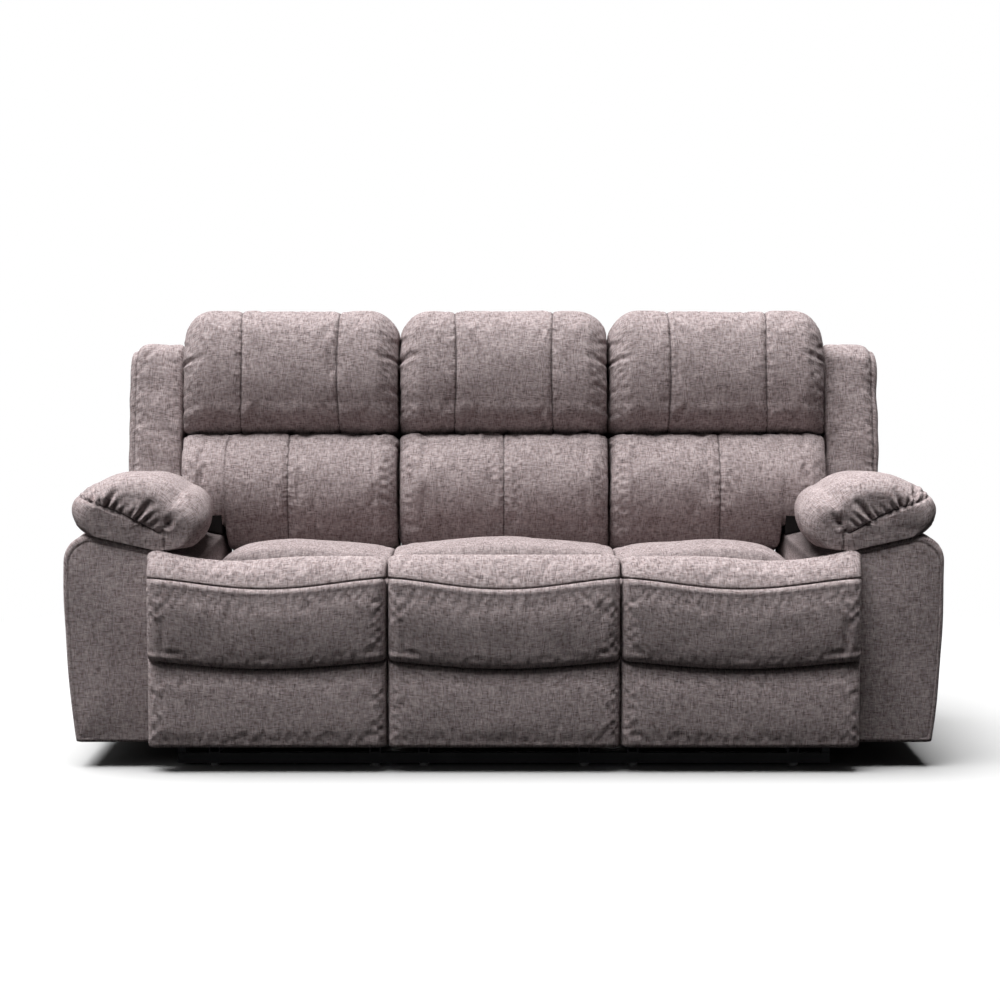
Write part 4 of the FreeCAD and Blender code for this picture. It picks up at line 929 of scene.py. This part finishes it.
def wing():
    """Side outline carried across: round upper front corner, softly rounded inner edge and a wide
    roll at the outer edge; the foot is cut off along the sloping top of the arm."""
    x = places(820.5, 955.0, 3.6, (942.0,))
    profile = outline((48, 150), [(48, 652), (-64, 652), ((-98.8, 638.8), (-112, 604)),
        ((-115, 380), (-112, 150))], 220, 5.0, lambda l, u: (l < 30) & (u > 200))
    inner, outer = x - 820.5, 955.0 - x
    front = -113.0 + drawn(inner, 16.0, 12.0) + drawn(outer, 34.0, 20.0)
    high = 652.0 - drawn(inner, 16.0, 10.0) - drawn(outer, 50.0, 30.0)
    back = 48.0 - drawn(inner, 12.0, 6.0) - drawn(outer, 20.0, 10.0)
    height = between(profile[:, 1], (150.0, 652.0), (150.0, high))
    depth = between(profile[:, 0], (-113.0, 48.0), (front, back))
    flat, caps = capped(x[:, None], depth, height, 4.0)
    seam = np.abs(flat[..., 0] - 942.0)
    face = ramp(ramp((-20 - flat[..., 1]) / 30.0) + ramp((flat[..., 2] - 630) / 12))
    free = face * (1 - bell(seam, 8.0)) * ramp((flat[..., 2] - 210) / 60)
    flat = swollen(flat, 1.0 - free * inside(flat[..., 0], (820.5, 955.0), 30.0), 4.0)
    for seed, (name, flip) in enumerate(ARMS, 91):
        moves = ripples(flat, seed, 95.0, 1.5) * face
        moves += face * seam_pull(seam, flat[..., 2], seed, 2.4, 2.6, 1.4, 8.0)
        piece = lean_back(moved(flat, moves))
        piece[..., 2] = np.maximum(piece[..., 2], arm_top(piece[..., 0]) + 0.4)
        # Painted shade along the seam near the outer edge.
        padded_piece(f"{name}_wing_skin", piece * flip, caps, "root", [f"{name}_wing"],
            bell(seam, 1.6) * face * 0.6, seed)


wing()


# Pull tab: a strap of the same cloth, folded double and stitched round its edge, in the gap beside
# the middle seat; pulling it up releases the middle footrest.

def pull_tab():
    """A thin flat strap carried upwards, with its upper end rounded over."""
    z = places(316.0, 476.0, 4.0)
    turn = np.linspace(0, 2 * np.pi, 48, endpoint=False)
    flat_x = np.sign(np.cos(turn)) * np.abs(np.cos(turn)) ** 0.5
    flat_y = np.sign(np.sin(turn)) * np.abs(np.sin(turn)) ** 0.28
    width = 15.0 - drawn(476.0 - z, 6.0, 3.0)
    rings, caps = capped(-266.0 + flat_x, -322.0 + flat_y * width[:, None], z[:, None], 0.3)
    # Painted shade along the stitching round the edge.
    padded_piece("middle_tab_strap", rings, caps, "middle_tab", ["middle_pull_tab"],
        bell(np.abs(rings[..., 1] + 322.0) - 11.0, 0.9) * 0.5, 5)


pull_tab()


# Base and mechanism: powder-coated steel rails, tracks, plates and links, moulded glides and
# handle cups, rough-sawn timber frames and drawn spring wire. They keep their own solids.

def coated_steel(name, colour, rough, grain):
    """Powder coat: fine orange peel, and a slightly lighter tone where dust lies."""
    coat = Finish(name, Metallic=0.0, Specular_IOR_Level=0.12)
    place = coat.put("ShaderNodeTexCoord", out=3)
    peel = coat.noise(place, grain, 3.0)
    dust = coat.noise(place, 14.0, 4.0)
    pale = tuple(0.8 * level + 0.008 for level in colour[:3]) + (1.0,)
    coat.feed(Base_Color=coat.mix(((dust - 0.5) * 1.6 + 0.3).clamped(), colour, pale),
        Roughness=(dust - 0.5) * 0.3 + rough, Normal=coat.bump(peel, 0.25, 0.0004))
    return coat.material


def moulded_plastic():
    """Matt black moulding with a fine spark-eroded grain."""
    plastic = Finish("black_moulding", Specular_IOR_Level=0.45)
    place = plastic.put("ShaderNodeTexCoord", out=3)
    grain = plastic.noise(place, 900.0, 2.0)
    wear = plastic.noise(place, 25.0, 3.0)
    plastic.feed(Base_Color=plastic.mix(((wear - 0.5) * 1.5 + 0.4).clamped(),
        (0.018, 0.018, 0.019, 1), (0.035, 0.035, 0.037, 1)), Roughness=(wear - 0.5) * 0.25 + 0.52,
        Normal=plastic.bump(grain, 0.3, 0.0003))
    return plastic.material


def sawn_timber():
    """Softwood: long grain lines across the sofa and knots' cloudiness."""
    wood = Finish("sawn_softwood", Specular_IOR_Level=0.25)
    place = wood.put("ShaderNodeTexCoord", out=3)
    stretched = wood.put("ShaderNodeMapping", {}, {"Vector": place, "Scale": (3.0, 38.0, 38.0)})
    grain = wood.noise(stretched, 2.2, 5.0)
    rings = (grain * 26.0).maths("SINE") * 0.5 + 0.5
    cloud = wood.noise(place, 6.0, 3.0)
    tone = (rings * 0.55 + cloud * 0.6 - 0.1).clamped()
    wood.feed(Base_Color=wood.mix(tone, (0.40, 0.255, 0.135, 1), (0.66, 0.49, 0.31, 1)),
        Roughness=cloud * 0.2 + 0.68, Normal=wood.bump(rings + cloud, 0.3, 0.0006))
    return wood.material


def drawn_wire():
    """Bright drawn wire with fine lines and dull spots."""
    wire = Finish("drawn_wire", Metallic=1.0)
    place = wire.put("ShaderNodeTexCoord", out=3)
    lines = wire.noise(place, 420.0, 2.0)
    spots = wire.noise(place, 40.0, 3.0)
    wire.feed(Base_Color=wire.mix(spots, (0.34, 0.34, 0.35, 1), (0.56, 0.56, 0.57, 1)),
        Roughness=(lines - 0.5) * 0.3 + 0.4, Normal=wire.bump(lines, 0.2, 0.0002))
    return wire.material


black_coat = coated_steel("black_powder_coat", (0.006, 0.006, 0.007, 1), 0.62, 1100.0)
grey_coat = coated_steel("grey_coated_steel", (0.05, 0.05, 0.054, 1), 0.42, 700.0)
node_finishes = {"base_steel": black_coat, "mechanism_steel": grey_coat, "timber": sawn_timber(),
    "black_plastic": moulded_plastic(), "spring_wire": drawn_wire()}
for subpart in frame["record"]["subparts"]:
    if subpart["material_slot"] in node_finishes:
        cad_mesh = frame["nodes"][subpart["node"]].data
        cad_mesh.materials.clear()
        cad_mesh.materials.append(node_finishes[subpart["material_slot"]])


# Studio: a white floor and surround, a broad overhead light from the left, a weak soft lamp low
# in front on the left, and the camera at the height of a standing viewer's chest.

def studio_floor():
    """A white sheet that takes the shadow near the sofa and turns plain white further out."""
    half = 30.0
    mesh = bpy.data.meshes.new("floor")
    mesh.from_pydata([(-half, -half, 0), (half, -half, 0), (half, half, 0), (-half, half, 0)], [],
        [(0, 1, 2, 3)])
    sheet = Finish("floor_sheet", Base_Color=(0.5, 0.5, 0.5, 1), Roughness=1.0,
        Specular_IOR_Level=0.0)
    place = sheet.put("ShaderNodeTexCoord", out=3)
    spot = sheet.put("ShaderNodeSeparateXYZ", {}, {0: place})
    far_x = spot * spot / 2.6 ** 2
    far_y = spot.other(1) * spot.other(1) / 2.6 ** 2
    share = ((far_x + far_y).maths("SQRT") - 0.6).clamped() * 2.5
    rays = sheet.put("ShaderNodeLightPath")
    seen = rays.maths("ADD", rays.other(3)).maths("ADD", rays.other(6)).clamped()
    plain = sheet.put("ShaderNodeEmission", {}, {"Color": (1, 1, 1, 1), "Strength": 1.0})
    dim = sheet.put("ShaderNodeBsdfDiffuse", {}, {"Color": (0.02, 0.02, 0.02, 1)})
    lit = Reading(sheet, sheet.shader.outputs[0])
    near = sheet.put("ShaderNodeMixShader", {}, {0: seen, 1: dim, 2: lit})
    whole = sheet.put("ShaderNodeMixShader", {}, {0: share.clamped() * seen, 1: near, 2: plain})
    sheet.join(sheet.material.node_tree.nodes["Material Output"].inputs["Surface"], whole)
    mesh.materials.append(sheet.material)
    floor = placed("floor", mesh)


studio_floor()

world = bpy.data.worlds.new("surround")
bpy.context.scene.world = world
world.use_nodes = True
links, sky = world.node_tree.links, world.node_tree.nodes
rays = sky.new("ShaderNodeLightPath")
white, faint, both = (sky.new(kind) for kind in ("ShaderNodeBackground", "ShaderNodeBackground",
    "ShaderNodeMixShader"))
white.inputs["Color"].default_value = faint.inputs["Color"].default_value = (1, 1, 1, 1)
white.inputs["Strength"].default_value, faint.inputs["Strength"].default_value = 1.0, 0.02
seen = None
for ray in ("Is Glossy Ray", "Is Transmission Ray"):
    add = sky.new("ShaderNodeMath")
    add.operation = "ADD"
    add.use_clamp = True
    links.new(seen or rays.outputs["Is Camera Ray"], add.inputs[0])
    links.new(rays.outputs[ray], add.inputs[1])
    seen = add.outputs[0]
links.new(seen, both.inputs[0])
links.new(faint.outputs[0], both.inputs[1])
links.new(white.outputs[0], both.inputs[2])
links.new(both.outputs[0], sky["World Output"].inputs["Surface"])


def lamp(name, kind, place, target, power, **settings):
    """A lamp at a place, turned to its target."""
    light = placed(name, adjusted(bpy.data.lights.new(name, kind), energy=power, **settings))
    light.location = place
    light.rotation_euler = (Vector(target) - Vector(place)).to_track_quat("-Z", "Y").to_euler()


lamp("overhead", "SUN", (-1.0, -0.2, 4.5), (0.0, 0.0, 0.0), 7.4, angle=math.radians(52))
lamp("front_left", "AREA", (-3.0, -1.9, 1.4), (-0.2, -0.3, 0.55), 6.0, size=1.6)

camera = placed("camera", adjusted(bpy.data.cameras.new("camera"), lens=85.07, sensor_width=36.0,
    shift_x=-0.002))
camera.location = (-0.0045, -5.770, 1.110)
camera.rotation_euler = (math.radians(90.0 - 5.2), 0.0, 0.0)
bpy.context.scene.camera = camera
bpy.context.scene.view_settings.view_transform = "Standard"
